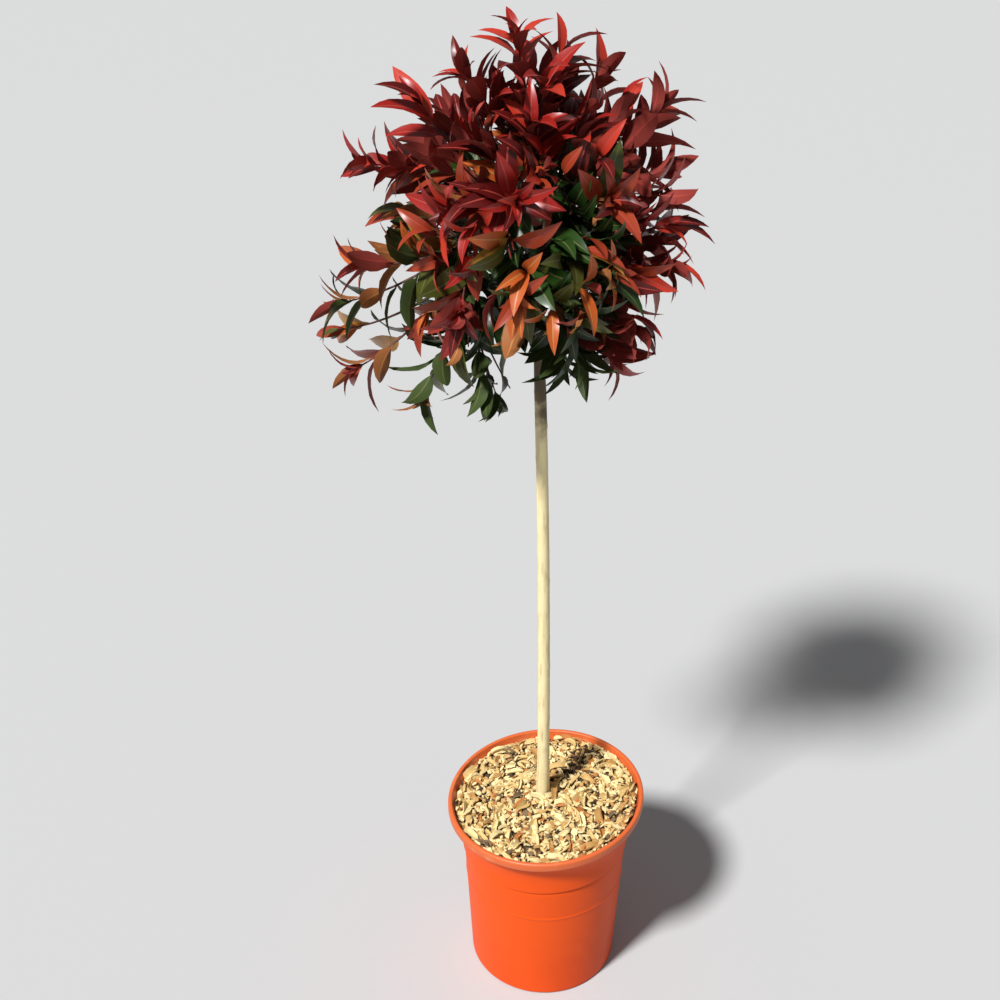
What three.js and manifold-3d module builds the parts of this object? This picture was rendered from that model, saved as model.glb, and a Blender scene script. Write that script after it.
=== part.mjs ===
// A standard (lollipop) red-tipped photinia in a round plastic pot, about a metre tall.
//
// Millimetres, +Z up. The origin is the centre of the pot's flat underside, -Y is the front and +X its right.
// The pot holds a root ball of compost under a layer of wood chips. One bare stem stands on the compost and
// runs up into the crown. Boughs leave it in rings, and each carries one mass of foliage on its tip, 0.3 mm
// clear. A mass is a stem, the shoots that branch from it and their leaves, joined into one solid.
import * as THREE from "three";
import { mergeVertices } from "three/addons/utils/BufferGeometryUtils.js";
import Module from "manifold-3d";

const wasm = await Module();
wasm.setup();

// ---- Driving dimensions ----
const GAP = 0.3; // between solids that touch on the real plant
const GOLDEN_ANGLE = Math.PI * (3 - Math.sqrt(5));

const POT = {
  sides: 40,
  height: 215,
  wall: 2,
  floor: 3,
  baseRadius: 76.3, // at the top of the chamfer round the foot
  chamfer: 2.5,
  stepHeight: 160, // where the body ends and the collar begins
  stepRadius: 83.8,
  collarRadius: 85.6,
  flareRadius: 96, // of the wall under the lip, which flares out from the collar
  flarePower: 3,
  lipDepth: 10,
  lipRadius: 100,
  lipInner: 95.5,
  rimLean: 0.072, // rise of the rim per mm towards +X, as the thin wall has gone out of true
  drains: { count: 6, radius: 5, circle: 52 },
};
const COMPOST_TOP = 194;
const CHIPS = {
  top: 206,
  lean: 0.09, // rise of the layer per mm towards +X, more than the rim's
  rings: 5,
  sides: 22,
  relief: 2.2, // rise or fall of the layer's surface
  holeRadius: 9.2, // round the stem's foot
  loose: 22,
  length: 20,
  width: 9,
  thick: 3.2,
  seed: 5,
};

const TRUNK = {
  sides: 12,
  steps: 12,
  foot: [-2.6, 5, COMPOST_TOP + GAP],
  bow: [-7, 1], // where the stem's middle lies at half its height
  tip: [-20, -2, 872],
  footRadius: 6.1,
  crownRadius: 5.3, // where the first boughs leave
  crownHeight: 680,
  tipRadius: 2.6,
  flare: 1.8, // extra radius at the root flare
  flareHeight: 35,
};

// The surface that the tips of the shoots lie on: an ellipsoid.
const CROWN = { centre: [-26, 0, 850], reach: [112, 106, 118] };
// shoulder is how far it is drawn in half-way between its waist and its top.
const SHOOTS = { count: 50, lowest: -0.72, unevenness: 0.3, shoulder: 0.12, seed: 11 };

// Rings of masses from the top down. elevation and azimuth are degrees from the crown's centre, azimuth from
// +X towards +Y. fork is how far out a bough's tip lies, as a share of the reach, and from the height at which
// the ring's first bough leaves the stem; each later one leaves it a spacing lower.
const RINGS = [
  { name: "leader", count: 1, elevation: 90, azimuth: 0, fork: 0, from: 0 },
  { name: "upper", count: 4, elevation: 26, azimuth: 248, fork: 0.36, from: 808 },
  { name: "middle", count: 5, elevation: -20, azimuth: 212, fork: 0.42, from: 776 },
  { name: "lower", count: 3, elevation: -50, azimuth: 190, fork: 0.58, from: 732 },
];
const HEART = 0.66; // how far out a mass's middle lies, as a share of the reach
const BOUGH = { sides: 6, steps: 3, spacing: 8, baseRadius: 3.1, tipRadius: 2.2, sag: 7 };

// Tips of the shoots that stand out of the rest.
const STRAYS = [
  [-33, 0, 990],
  [-70, 0, 962],
  [-106, -20, 948],
  [28, 10, 954],
  [77, 20, 929],
  [-146, 0, 893],
  [84, -20, 850],
  [88, -20, 816],
  [66, -40, 768],
  [-152, -38, 824],
  [-170, -40, 792],
  [-186, -30, 758],
  [-162, -38, 732],
  [-108, -40, 712],
  [-60, -38, 722],
  [-38, -22, 702],
  [18, -46, 750],
  [-50, -32, 702],
  [4, -34, 742],
  [42, -42, 746],
  [-30, -88, 824],
  [12, -80, 806],
];

const TWIG = { sides: 3, steps: 3, stemRadius: 2.6, shootRadius: 1.9, tipRadius: 0.9, rise: 0.14 };
const LEAF = {
  count: 12, // on one shoot
  stretch: 96, // of the shoot's end that bears leaves
  length: 52,
  tipShare: 0.62, // the youngest leaf's length, as a share of the longest's
  width: 0.5, // of the length
  widest: 0.5, // where along the leaf it is widest
  thickness: 0.02, // of the length
  fold: 0.07, // how far the edges stand above the midrib, as a share of the length
  droop: 0.14, // how far the tip hangs below a straight leaf, as a share of the length
  openAngle: 74, // between the lowest leaf and its shoot, in degrees
  tipAngle: 24, // between the youngest leaf and its shoot
  sunk: 0.3, // how far a leaf's root lies beyond the twig's middle, as a share of the twig's radius
};
// A shoot that finds no room tries again with its tip drawn in towards its mass's heart, and its root moved up
// the mass's stem, by these shares at each of four tries.
const RETRY = { tries: 4, drawnIn: 0.08, movedUp: 0.13 };
const TRIES = [0, 0.6, -0.6, 1.2, -1.2]; // turns round the shoot, in radians, for a leaf that finds no room
const SLIVER = 0.02; // edges shorter than this are closed up when a mass is joined
const CLEAR = 0.6; // between a mass and its neighbours' space, or a limb

// ---- Helpers ----
const vec = (x, y, z) => new THREE.Vector3(x, y, z);
const UP = vec(0, 0, 1);

/** A repeatable stream of numbers from 0 to 1. */
function randomFrom(seed) {
  let state = seed | 0;
  return () => {
    state = (state + 0x6d2b79f5) | 0;
    let t = Math.imul(state ^ (state >>> 15), 1 | state);
    t = (t + Math.imul(t ^ (t >>> 7), 61 | t)) ^ t;
    return ((t ^ (t >>> 14)) >>> 0) / 4294967296;
  };
}

/** A point on a quadratic curve, and its direction there. */
function onCurve([a, b, c], t) {
  const point = a.clone().multiplyScalar((1 - t) ** 2)
    .addScaledVector(b, 2 * t * (1 - t))
    .addScaledVector(c, t * t);
  const along = b.clone().sub(a).multiplyScalar(1 - t).addScaledVector(c.clone().sub(b), t).normalize();
  return { point, along };
}

/** A point on the middle line of a limb, which runs straight between its rings. */
function onLimb(curve, t, steps) {
  const step = Math.min(Math.floor(t * steps), steps - 1);
  const [a, b] = [onCurve(curve, step / steps).point, onCurve(curve, (step + 1) / steps).point];
  return a.lerp(b, t * steps - step);
}

function toManifold(geometry) {
  const bare = geometry.clone();
  bare.deleteAttribute("normal");
  bare.deleteAttribute("uv");
  const merged = mergeVertices(bare, 1e-4);
  return new wasm.Manifold(
    new wasm.Mesh({
      numProp: 3,
      vertProperties: new Float32Array(merged.attributes.position.array),
      triVerts: new Uint32Array(merged.index.array),
    }),
  );
}

function toGeometry(solid) {
  const { vertProperties, triVerts, numProp } = solid.getMesh();
  const geometry = new THREE.BufferGeometry();
  geometry.setAttribute("position", new THREE.InterleavedBufferAttribute(
    new THREE.InterleavedBuffer(vertProperties, numProp), 3, 0));
  geometry.setIndex(new THREE.BufferAttribute(triVerts, 1));
  return geometry.toNonIndexed();
}

/** A closed solid from its corners and triangles. */
function facets(corners, faces) {
  const geometry = new THREE.BufferGeometry();
  geometry.setAttribute("position", new THREE.Float32BufferAttribute(corners.flatMap((c) => c.toArray()), 3));
  geometry.setIndex(faces.flat());
  return toManifold(geometry);
}

/** A round limb along a curve, with flat ends. radiusAt takes a share of the curve's length. */
function limb(curve, radiusAt, sides, steps) {
  const corners = [];
  const faces = [];
  const ring = (step, side) => step * sides + (side % sides);
  let across = null;
  for (let i = 0; i <= steps; i++) {
    const { point, along } = onCurve(curve, i / steps);
    across = across
      ? across.addScaledVector(along, -across.dot(along)).normalize()
      : vec(0.31, 0.95, 0.05).cross(along).normalize();
    const other = along.clone().cross(across);
    for (let s = 0; s < sides; s++) {
      const turn = (2 * Math.PI * s) / sides;
      corners.push(point.clone()
        .addScaledVector(across, radiusAt(i / steps) * Math.cos(turn))
        .addScaledVector(other, radiusAt(i / steps) * Math.sin(turn)));
      if (i < steps) {
        faces.push([ring(i, s), ring(i, s + 1), ring(i + 1, s)]);
        faces.push([ring(i, s + 1), ring(i + 1, s + 1), ring(i + 1, s)]);
      }
      if (s > 1) {
        if (i === 0) faces.push([0, s, s - 1]);
        if (i === steps) faces.push([ring(i, 0), ring(i, s - 1), ring(i, s)]);
      }
    }
  }
  return facets(corners, faces);
}

const smoothly = (t) => t * t * (3 - 2 * t);

// ---- Pot and what fills it ----
/** Radius of the pot's outer wall at a height, below the lip. */
function potRadius(z) {
  const { baseRadius, chamfer, stepHeight, stepRadius, collarRadius, flareRadius, flarePower } = POT;
  if (z <= stepHeight) return baseRadius + ((stepRadius - baseRadius) * (z - chamfer)) / (stepHeight - chamfer);
  const share = (z - stepHeight) / (POT.height - POT.lipDepth - stepHeight);
  return collarRadius + (flareRadius - collarRadius) * share ** flarePower;
}

/** Lifts the rim's +X side and lowers the other, fading out down to the step. */
function leanRim(geometry) {
  const position = geometry.attributes.position;
  for (let i = 0; i < position.count; i++) {
    const share = (position.getZ(i) - POT.stepHeight / 2) / (POT.height - POT.stepHeight / 2);
    const lift = POT.rimLean * position.getX(i) * smoothly(Math.min(Math.max(share, 0), 1));
    position.setZ(i, position.getZ(i) + lift);
  }
  return geometry;
}

/** A lathe about Z from a profile of [radius, height]. */
function turned(profile, sides) {
  return new THREE.LatheGeometry(profile.map(([r, z]) => new THREE.Vector2(r, z)), sides).rotateX(Math.PI / 2);
}

function pot() {
  const { height, wall, floor, baseRadius, chamfer, stepHeight, stepRadius, collarRadius } = POT;
  const lipFoot = height - POT.lipDepth;
  const flare = [0.5, 0.75, 1].map((share) => stepHeight + (lipFoot - stepHeight) * share);
  const outer = [
    [0, 0],
    [baseRadius - chamfer, 0],
    [baseRadius, chamfer],
    [stepRadius, stepHeight - 1.5],
    [collarRadius, stepHeight + 1],
    ...flare.map((z) => [potRadius(z), z]),
    [POT.lipRadius - 1, lipFoot + 0.5],
    [POT.lipRadius, lipFoot + 1.5],
    [POT.lipRadius, height - 2.5],
    [POT.lipRadius - 1.8, height],
  ];
  const inner = [
    [POT.lipInner, height],
    ...flare.toReversed().map((z) => [potRadius(z) - wall, z + 1]),
    [collarRadius - wall, stepHeight + 2],
    [stepRadius - wall, stepHeight - 0.5],
    [baseRadius - wall, chamfer + 1],
    [baseRadius - wall - 2.5, floor],
    [0, floor],
  ];
  let solid = toManifold(leanRim(turned([...outer, ...inner], POT.sides)));
  for (let i = 0; i < POT.drains.count; i++) {
    const turn = (2 * Math.PI * i) / POT.drains.count;
    const drill = new THREE.CylinderGeometry(POT.drains.radius, POT.drains.radius, 4 * floor, 10)
      .rotateX(Math.PI / 2)
      .translate(POT.drains.circle * Math.cos(turn), POT.drains.circle * Math.sin(turn), 0);
    solid = solid.subtract(toManifold(drill));
  }
  return solid;
}

function compost() {
  const inset = POT.wall + 1;
  const bottom = POT.floor + GAP;
  const profile = [
    [0, bottom],
    [POT.baseRadius - inset - 3, bottom],
    [POT.baseRadius - inset, POT.chamfer + 2],
    [POT.stepRadius - inset, POT.stepHeight],
    [POT.stepRadius - inset, COMPOST_TOP],
    [0, COMPOST_TOP],
  ];
  return toManifold(turned(profile, POT.sides));
}

/** Wood chips: an uneven layer round the stem's foot, with loose chips standing out of it. */
function woodChips() {
  const { top, lean, rings, sides, relief, holeRadius, loose, length, width, thick, seed } = CHIPS;
  const random = randomFrom(seed);
  const bottom = COMPOST_TOP + GAP;
  const raised = POT.rimLean * POT.stepRadius; // how far the pot's wall is lifted at +X
  const footRadius = potRadius(bottom - raised) - POT.wall - 1.5;
  const outerRadius = potRadius(top - 1) - POT.wall - 2.5;
  const profile = [[0, bottom], [footRadius, bottom]];
  for (let i = 0; i <= rings; i++) {
    profile.push([outerRadius * (1 - i / rings), top]);
  }
  const layer = turned(profile, sides);
  const position = layer.attributes.position;
  const lifts = new Map();
  for (let i = 0; i < position.count; i++) {
    if (position.getZ(i) < bottom + 1) continue;
    const spot = `${Math.round(position.getX(i) * 50)},${Math.round(position.getY(i) * 50)}`;
    if (!lifts.has(spot)) lifts.set(spot, relief * (2 * random() - 1));
    position.setZ(i, position.getZ(i) + lifts.get(spot) + lean * position.getX(i));
  }
  let solid = toManifold(layer);
  for (let i = 0; i < loose; i++) {
    const room = outerRadius - holeRadius - length * 1.4;
    const out = holeRadius + length * 0.8 + room * Math.sqrt((i + 0.5) / loose);
    const turn = i * GOLDEN_ANGLE;
    const size = 0.6 + 0.4 * random();
    const chip = new THREE.BoxGeometry(length * size, width * (0.6 + 0.4 * random()), thick)
      .rotateX(0.5 * (random() - 0.5))
      .rotateY(0.7 * (random() - 0.5))
      .rotateZ(6 * random());
    const x = out * Math.cos(turn);
    chip.translate(x, out * Math.sin(turn), top + lean * x);
    solid = solid.add(toManifold(chip));
  }
  const hole = new THREE.CylinderGeometry(holeRadius, holeRadius, 2 * top, 20).rotateX(Math.PI / 2)
    .translate(TRUNK.foot[0], TRUNK.foot[1], top);
  return solid.subtract(toManifold(hole));
}

// ---- Stem and boughs ----
const TRUNK_CURVE = (() => {
  const [foot, tip] = [vec(...TRUNK.foot), vec(...TRUNK.tip)];
  const halfway = vec(...TRUNK.bow, (foot.z + tip.z) / 2);
  const pull = halfway.multiplyScalar(2).addScaledVector(foot, -0.5).addScaledVector(tip, -0.5);
  return [foot, pull, tip];
})();

const alongTrunk = (z) => (z - TRUNK_CURVE[0].z) / (TRUNK_CURVE[2].z - TRUNK_CURVE[0].z);

function trunkRadius(t) {
  const z = TRUNK_CURVE[0].z + t * (TRUNK_CURVE[2].z - TRUNK_CURVE[0].z);
  const { footRadius, crownRadius, crownHeight, tipRadius, flare, flareHeight } = TRUNK;
  const clear = alongTrunk(crownHeight);
  const plain = t < clear
    ? footRadius + ((crownRadius - footRadius) * t) / clear
    : crownRadius + ((tipRadius - crownRadius) * (t - clear)) / (1 - clear);
  return plain + flare * Math.exp(-(z - TRUNK_CURVE[0].z) / flareHeight);
}

/** A direction from the crown's centre, from degrees. */
function heading(azimuth, elevation) {
  const [a, e] = [(azimuth * Math.PI) / 180, (elevation * Math.PI) / 180];
  return vec(Math.cos(a) * Math.cos(e), Math.sin(a) * Math.cos(e), Math.sin(e));
}

/** The point that lies a share of the crown's reach out along a direction. */
const outAlong = (direction, share) =>
  vec(...CROWN.centre).add(direction.clone().multiply(vec(...CROWN.reach)).multiplyScalar(share));

/** Each mass's name, the middle of its space, the place of its bough's tip and the bough's curve. */
function plan() {
  const masses = [];
  for (const ring of RINGS) {
    for (let i = 0; i < ring.count; i++) {
      const direction = heading(ring.azimuth + (360 * i) / ring.count, ring.elevation);
      const mass = { heart: outAlong(direction, HEART), shoots: [], bough: null };
      mass.name = ring.count > 1 ? `${ring.name}_${i + 1}` : ring.name;
      mass.fork = ring.from ? outAlong(direction, ring.fork) : TRUNK_CURVE[2].clone();
      if (ring.from) {
        const foot = onCurve(TRUNK_CURVE, alongTrunk(ring.from - BOUGH.spacing * i)).point;
        mass.bough = [foot, foot.clone().lerp(mass.fork, 0.5).addScaledVector(UP, -BOUGH.sag), mass.fork];
      }
      masses.push(mass);
    }
  }
  return masses;
}

const MASSES = plan();
const LIMBS = [
  { curve: TRUNK_CURVE, radiusAt: trunkRadius, steps: 40 },
  ...MASSES.filter((m) => m.bough).map((m) => ({ curve: m.bough, radiusAt: boughRadius, steps: 8 })),
];

function boughRadius(t) {
  return BOUGH.baseRadius + (BOUGH.tipRadius - BOUGH.baseRadius) * t;
}

function trunk() {
  return limb(TRUNK_CURVE, trunkRadius, TRUNK.sides, TRUNK.steps);
}

/** A bough, its foot cut to the stem's surface. */
function bough(mass) {
  const room = limb(TRUNK_CURVE, (t) => trunkRadius(t) + GAP, TRUNK.sides, TRUNK.steps);
  return limb(mass.bough, boughRadius, BOUGH.sides, BOUGH.steps).subtract(room);
}

// ---- Foliage ----
/** How far inside a mass's own space a point lies: the space of points nearer to its heart than to another. */
function inside(mass, point) {
  let least = Infinity;
  for (const other of MASSES) {
    if (other === mass) continue;
    const apart = other.heart.clone().sub(mass.heart);
    const middle = other.heart.clone().add(mass.heart).multiplyScalar(0.5);
    least = Math.min(least, middle.sub(point).dot(apart) / apart.length());
  }
  return least;
}

/** True if a point is clear of the stem and of every bough. */
function clearOfLimbs(point, margin) {
  return LIMBS.every(({ curve, radiusAt, steps }) => {
    for (let i = 0; i < steps; i++) {
      const [a, b] = [onCurve(curve, i / steps).point, onCurve(curve, (i + 1) / steps).point];
      const near = new THREE.Line3(a, b).closestPointToPoint(point, true, vec(0, 0, 0));
      if (near.distanceTo(point) < radiusAt(i / steps) + margin) return false;
    }
    return true;
  });
}

/** The tips of all the shoots: an even spiral over the crown's reach, with the strays after it. */
function shootTips() {
  const random = randomFrom(SHOOTS.seed);
  const tips = [];
  for (let i = 0; i < SHOOTS.count; i++) {
    const height = 1 - ((i + 0.5) / SHOOTS.count) * (1 - SHOOTS.lowest);
    const flat = Math.sqrt(1 - height * height);
    const turn = i * GOLDEN_ANGLE;
    const drawnIn = SHOOTS.shoulder * 4 * Math.max(height, 0) ** 2 * flat ** 2;
    const share = (1 - SHOOTS.unevenness * random()) * (1 - drawnIn);
    tips.push(outAlong(vec(flat * Math.cos(turn), flat * Math.sin(turn), height), share));
  }
  return [...tips, ...STRAYS.map((tip) => vec(...tip))];
}

/** Gives each mass its shoots' curves: the first is its stem, and the others branch from that. */
function branch(masses) {
  shootTips().forEach((tip, index) => {
    const mass = masses.reduce((best, m) => (m.heart.distanceTo(tip) < best.heart.distanceTo(tip) ? m : best));
    mass.shoots.push({ tip, index });
  });
  for (const mass of masses) {
    mass.shoots.sort((a, b) => a.tip.distanceTo(mass.heart) - b.tip.distanceTo(mass.heart));
    const [stem, ...others] = mass.shoots;
    const lead = onCurve(mass.bough ?? TRUNK_CURVE, 1).along;
    const start = mass.fork.clone().addScaledVector(lead, GAP);
    stem.length = stem.tip.distanceTo(start);
    stem.curve = [start, start.clone().addScaledVector(lead, 0.4 * stem.length), stem.tip];
    others.forEach((shoot, i) => {
      for (let t = 0; t < RETRY.tries && !shoot.fits; t++) {
        const share = 0.12 + (0.5 * (i + 1)) / mass.shoots.length + RETRY.movedUp * t;
        const from = onLimb(stem.curve, share, TWIG.steps);
        const tip = shoot.tip.clone().lerp(mass.heart, RETRY.drawnIn * t);
        shoot.length = tip.distanceTo(from);
        const middle = from.clone().lerp(tip, 0.5).addScaledVector(UP, -TWIG.rise * shoot.length);
        shoot.curve = [from, middle, tip];
        shoot.fits = hasRoom(mass, shoot.curve);
      }
    });
    mass.shoots = [stem, ...others.filter((shoot) => shoot.fits)];
  }
}

/** True if a shoot's curve keeps to its mass's space and clear of every limb. */
function hasRoom(mass, curve) {
  return [0.1, 0.25, 0.5, 0.75, 1].every((t) => {
    const { point } = onCurve(curve, t);
    return inside(mass, point) > CLEAR + TWIG.shootRadius && clearOfLimbs(point, CLEAR + TWIG.shootRadius);
  });
}

/** The leaves of a shoot, from the lowest to the youngest at its tip. */
function leavesOf(shoot) {
  const random = randomFrom(1000 + shoot.index);
  const leaves = [];
  const phase = 2 * Math.PI * random();
  const bare = Math.max(0.1, 1 - LEAF.stretch / shoot.length);
  for (let i = 0; i < LEAF.count; i++) {
    const age = 1 - i / (LEAF.count - 1); // 1 on the lowest leaf, 0 on the youngest
    const [a, b, c] = [random(), random(), random()];
    const openness = LEAF.tipAngle + (LEAF.openAngle - LEAF.tipAngle) * age ** 0.8;
    const fullness = LEAF.tipShare + (1 - LEAF.tipShare) * Math.sin(Math.PI * (0.12 + 0.6 * age));
    leaves.push({
      age,
      at: bare + (0.98 - bare) * (1 - age ** 1.25),
      turn: phase + i * GOLDEN_ANGLE + 0.5 * (a - 0.5),
      angle: (openness * Math.PI) / 180 + 0.3 * (b - 0.5),
      length: LEAF.length * fullness * (0.85 + 0.3 * c),
    });
  }
  return leaves;
}

/** Where a leaf lies: its root, and the directions along it, across it and out of its upper face. */
function placed(shoot, leaf, extraTurn) {
  const root = onLimb(shoot.curve, leaf.at, TWIG.steps);
  const { along } = onCurve(shoot.curve, leaf.at);
  const level = UP.clone().cross(along);
  const side = (level.lengthSq() < 1e-4 ? vec(1, 0, 0) : level).normalize();
  const top = along.clone().cross(side);
  const turn = leaf.turn + extraTurn;
  const outward = side.clone().multiplyScalar(Math.cos(turn)).addScaledVector(top, Math.sin(turn));
  const forward = along.clone().multiplyScalar(Math.cos(leaf.angle)).addScaledVector(outward, Math.sin(leaf.angle));
  const across = forward.clone().cross(along).normalize();
  const normal = across.clone().cross(forward).normalize();
  return { root, forward, across, normal };
}

/** The six corners of a faceted leaf: root, sides, tip, and the midrib's upper and lower middle. */
function leafCorners({ root, forward, across, normal }, { length, sunk }) {
  const half = (length * LEAF.width) / 2;
  const thick = length * LEAF.thickness;
  const at = (along, aside, up) => root.clone()
    .addScaledVector(forward, along)
    .addScaledVector(across, aside)
    .addScaledVector(normal, up);
  const mid = length * LEAF.widest;
  const edge = length * LEAF.fold;
  return [
    at(-sunk, 0, 0),
    at(mid, half, edge + thick / 2),
    at(length, 0, -length * LEAF.droop),
    at(mid, -half, edge + thick / 2),
    at(mid, 0, thick),
    at(mid, 0, -thick / 2),
  ];
}
const LEAF_FACES = [
  [0, 4, 3], [3, 4, 2], [2, 4, 1], [1, 4, 0],
  [3, 5, 0], [2, 5, 3], [1, 5, 2], [0, 5, 1],
];

/** A leaf where it first finds room: in its mass's space, clear of limbs and of some other solids. */
function roomFor(mass, shoot, leaf, others) {
  for (const extra of TRIES) {
    const corners = leafCorners(placed(shoot, leaf, extra), leaf);
    const middles = [1, 2, 3].map((i) => corners[0].clone().lerp(corners[i], 0.5));
    const clear = [...corners, ...middles].every((p) => inside(mass, p) > CLEAR && clearOfLimbs(p, CLEAR + 1));
    if (!clear) continue;
    const solid = facets(corners, LEAF_FACES);
    if (others.every((other) => solid.intersect(other).isEmpty())) return solid;
  }
  return null;
}

function foliage(mass) {
  const radiusOn = (i) => (t) => THREE.MathUtils.lerp(i ? TWIG.shootRadius : TWIG.stemRadius, TWIG.tipRadius, t);
  const twigs = mass.shoots.map((shoot, i) => limb(shoot.curve, radiusOn(i), TWIG.sides, TWIG.steps));
  const leaves = [];
  mass.shoots.forEach((shoot, i) => {
    for (const leaf of leavesOf(shoot)) {
      leaf.sunk = LEAF.sunk * radiusOn(i)(leaf.at);
      const solid = roomFor(mass, shoot, leaf, [...leaves, ...twigs.filter((twig) => twig !== twigs[i])]);
      if (solid) leaves.push(solid);
    }
  });
  return leaves.reduce(
    (whole, leaf) => {
      const joined = whole.add(leaf).simplify(SLIVER);
      return sound(joined) ? joined : whole;
    },
    wasm.Manifold.union(twigs),
  );
}

/** True if every edge joins just two faces, once corners closer than a thousandth are taken as one. */
function sound(solid) {
  const corners = mergeVertices(toGeometry(solid), 1e-3).index.array;
  const uses = new Map();
  for (let i = 0; i < corners.length; i += 3) {
    const face = [...corners.slice(i, i + 3)];
    if (new Set(face).size < 3) continue;
    face.forEach((a, k) => {
      const edge = [a, face[(k + 1) % 3]].sort().join();
      uses.set(edge, (uses.get(edge) ?? 0) + 1);
    });
  }
  return [...uses.values()].every((count) => count === 2);
}

// ---- Assembly ----
const PLASTIC = new THREE.MeshStandardMaterial({ color: 0xc8501f, roughness: 0.4, metalness: 0 });
const SOIL = new THREE.MeshStandardMaterial({ color: 0x2b1d14, roughness: 0.95, metalness: 0 });
const CHIP = new THREE.MeshStandardMaterial({ color: 0xc9a877, roughness: 0.85, metalness: 0 });
const STEM = new THREE.MeshStandardMaterial({ color: 0xc8b183, roughness: 0.7, metalness: 0 });
const BARK = new THREE.MeshStandardMaterial({ color: 0x4a3527, roughness: 0.8, metalness: 0 });
const RED_LEAF = new THREE.MeshStandardMaterial({ color: 0x8f1a14, roughness: 0.35, metalness: 0 });
const GREEN_LEAF = new THREE.MeshStandardMaterial({ color: 0x2f4a16, roughness: 0.35, metalness: 0 });

const topiary = new THREE.Group();
function addPiece(name, solid, material) {
  const mesh = new THREE.Mesh(toGeometry(solid), material);
  mesh.name = name;
  topiary.add(mesh);
}

addPiece("pot", pot(), PLASTIC);
addPiece("compost", compost(), SOIL);
addPiece("wood_chips", woodChips(), CHIP);
addPiece("trunk", trunk(), STEM);
branch(MASSES);
for (const mass of MASSES) {
  if (mass.bough) addPiece(`bough_${mass.name}`, bough(mass), BARK);
  addPiece(`foliage_${mass.name}`, foliage(mass), mass.name.startsWith("lower") ? GREEN_LEAF : RED_LEAF);
}

export default topiary;
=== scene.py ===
"""A red-tipped photinia grown as a small standard, standing in a terracotta-coloured plastic pot.

The stem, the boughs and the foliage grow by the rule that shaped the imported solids, written again here
and carried on to side twigs and fine leaves. Metres, +Z up, the origin under the middle of the pot.
"""

import logging
import math
from dataclasses import dataclass, field
from enum import Enum
from typing import Callable

import bmesh
import bpy
import numpy as np
from mathutils import Matrix, Vector, noise
from mathutils.bvhtree import BVHTree


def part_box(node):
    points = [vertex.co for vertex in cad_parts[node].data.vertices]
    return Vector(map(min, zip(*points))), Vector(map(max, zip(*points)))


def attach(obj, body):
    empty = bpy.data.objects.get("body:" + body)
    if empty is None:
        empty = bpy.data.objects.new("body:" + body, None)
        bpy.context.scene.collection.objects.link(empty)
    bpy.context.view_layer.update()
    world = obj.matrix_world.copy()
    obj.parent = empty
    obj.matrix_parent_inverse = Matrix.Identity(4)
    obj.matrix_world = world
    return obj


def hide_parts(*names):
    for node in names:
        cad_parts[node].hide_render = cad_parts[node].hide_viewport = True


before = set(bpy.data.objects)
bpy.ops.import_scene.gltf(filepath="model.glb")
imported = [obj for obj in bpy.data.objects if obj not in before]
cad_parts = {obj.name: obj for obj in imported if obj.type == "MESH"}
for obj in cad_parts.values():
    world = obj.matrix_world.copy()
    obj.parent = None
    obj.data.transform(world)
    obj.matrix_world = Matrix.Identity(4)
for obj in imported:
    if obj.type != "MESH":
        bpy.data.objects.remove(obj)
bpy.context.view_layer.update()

LOG = logging.getLogger("photinia")
BODY = "root"
GAP = 0.0003  # between solids that touch on the real plant
GOLDEN_ANGLE = math.pi * (3 - math.sqrt(5))
UP = np.array([0.0, 0.0, 1.0])
WORD = 0xFFFFFFFF

Array = np.ndarray
Colour = tuple[float, float, float]


# ---- Numbers and curves ----
def unit(vector: Array) -> Array:
    """A vector of length one along another."""
    return vector / np.linalg.norm(vector)


def mix(low: float, high: float, share: float) -> float:
    """The value a share of the way from low to high."""
    return low + (high - low) * share


def smoothly(share: float) -> float:
    """A share from 0 to 1 that starts and ends gently."""
    share = min(max(share, 0.0), 1.0)
    return share * share * (3 - 2 * share)


class Draws:
    """A repeatable stream of numbers from 0 to 1, the one that the growth rule draws from."""

    def __init__(self, seed: int) -> None:
        """Starts the stream at a seed."""
        self.state = seed & WORD

    def next(self) -> float:
        """The next number."""
        self.state = (self.state + 0x6D2B79F5) & WORD
        t = ((self.state ^ (self.state >> 15)) * (1 | self.state)) & WORD
        t = ((t + ((t ^ (t >> 7)) * (61 | t) & WORD)) & WORD) ^ t
        return ((t ^ (t >> 14)) & WORD) / 2**32

    def spread(self, reach: float) -> float:
        """A number from -reach to reach."""
        return reach * (2 * self.next() - 1)


@dataclass(frozen=True)
class Bend:
    """A quadratic curve: where a limb starts, the point that it is drawn towards, and where it ends."""

    start: Array
    pull: Array
    end: Array

    def point(self, t: float) -> Array:
        """The point a share of the way along."""
        return (1 - t) ** 2 * self.start + 2 * t * (1 - t) * self.pull + t * t * self.end

    def along(self, t: float) -> Array:
        """The direction a share of the way along."""
        return unit((1 - t) * (self.pull - self.start) + t * (self.end - self.pull))

    def straight(self, t: float, steps: int) -> Array:
        """The point a share of the way along, where the limb runs straight between its rings."""
        step = min(int(t * steps), steps - 1)
        low, high = self.point(step / steps), self.point((step + 1) / steps)
        return low + (high - low) * (t * steps - step)

    def frames(self, steps: int) -> list[tuple[Array, Array, Array, Array]]:
        """The middle, two directions across and the direction along, at each ring from start to end."""
        rings = []
        across = np.cross([0.31, 0.95, 0.05], self.along(0))
        for step in range(steps + 1):
            along = self.along(step / steps)
            across = unit(across - along * (across @ along))
            rings.append((self.point(step / steps), across, np.cross(along, across), along))
        return rings


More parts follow.
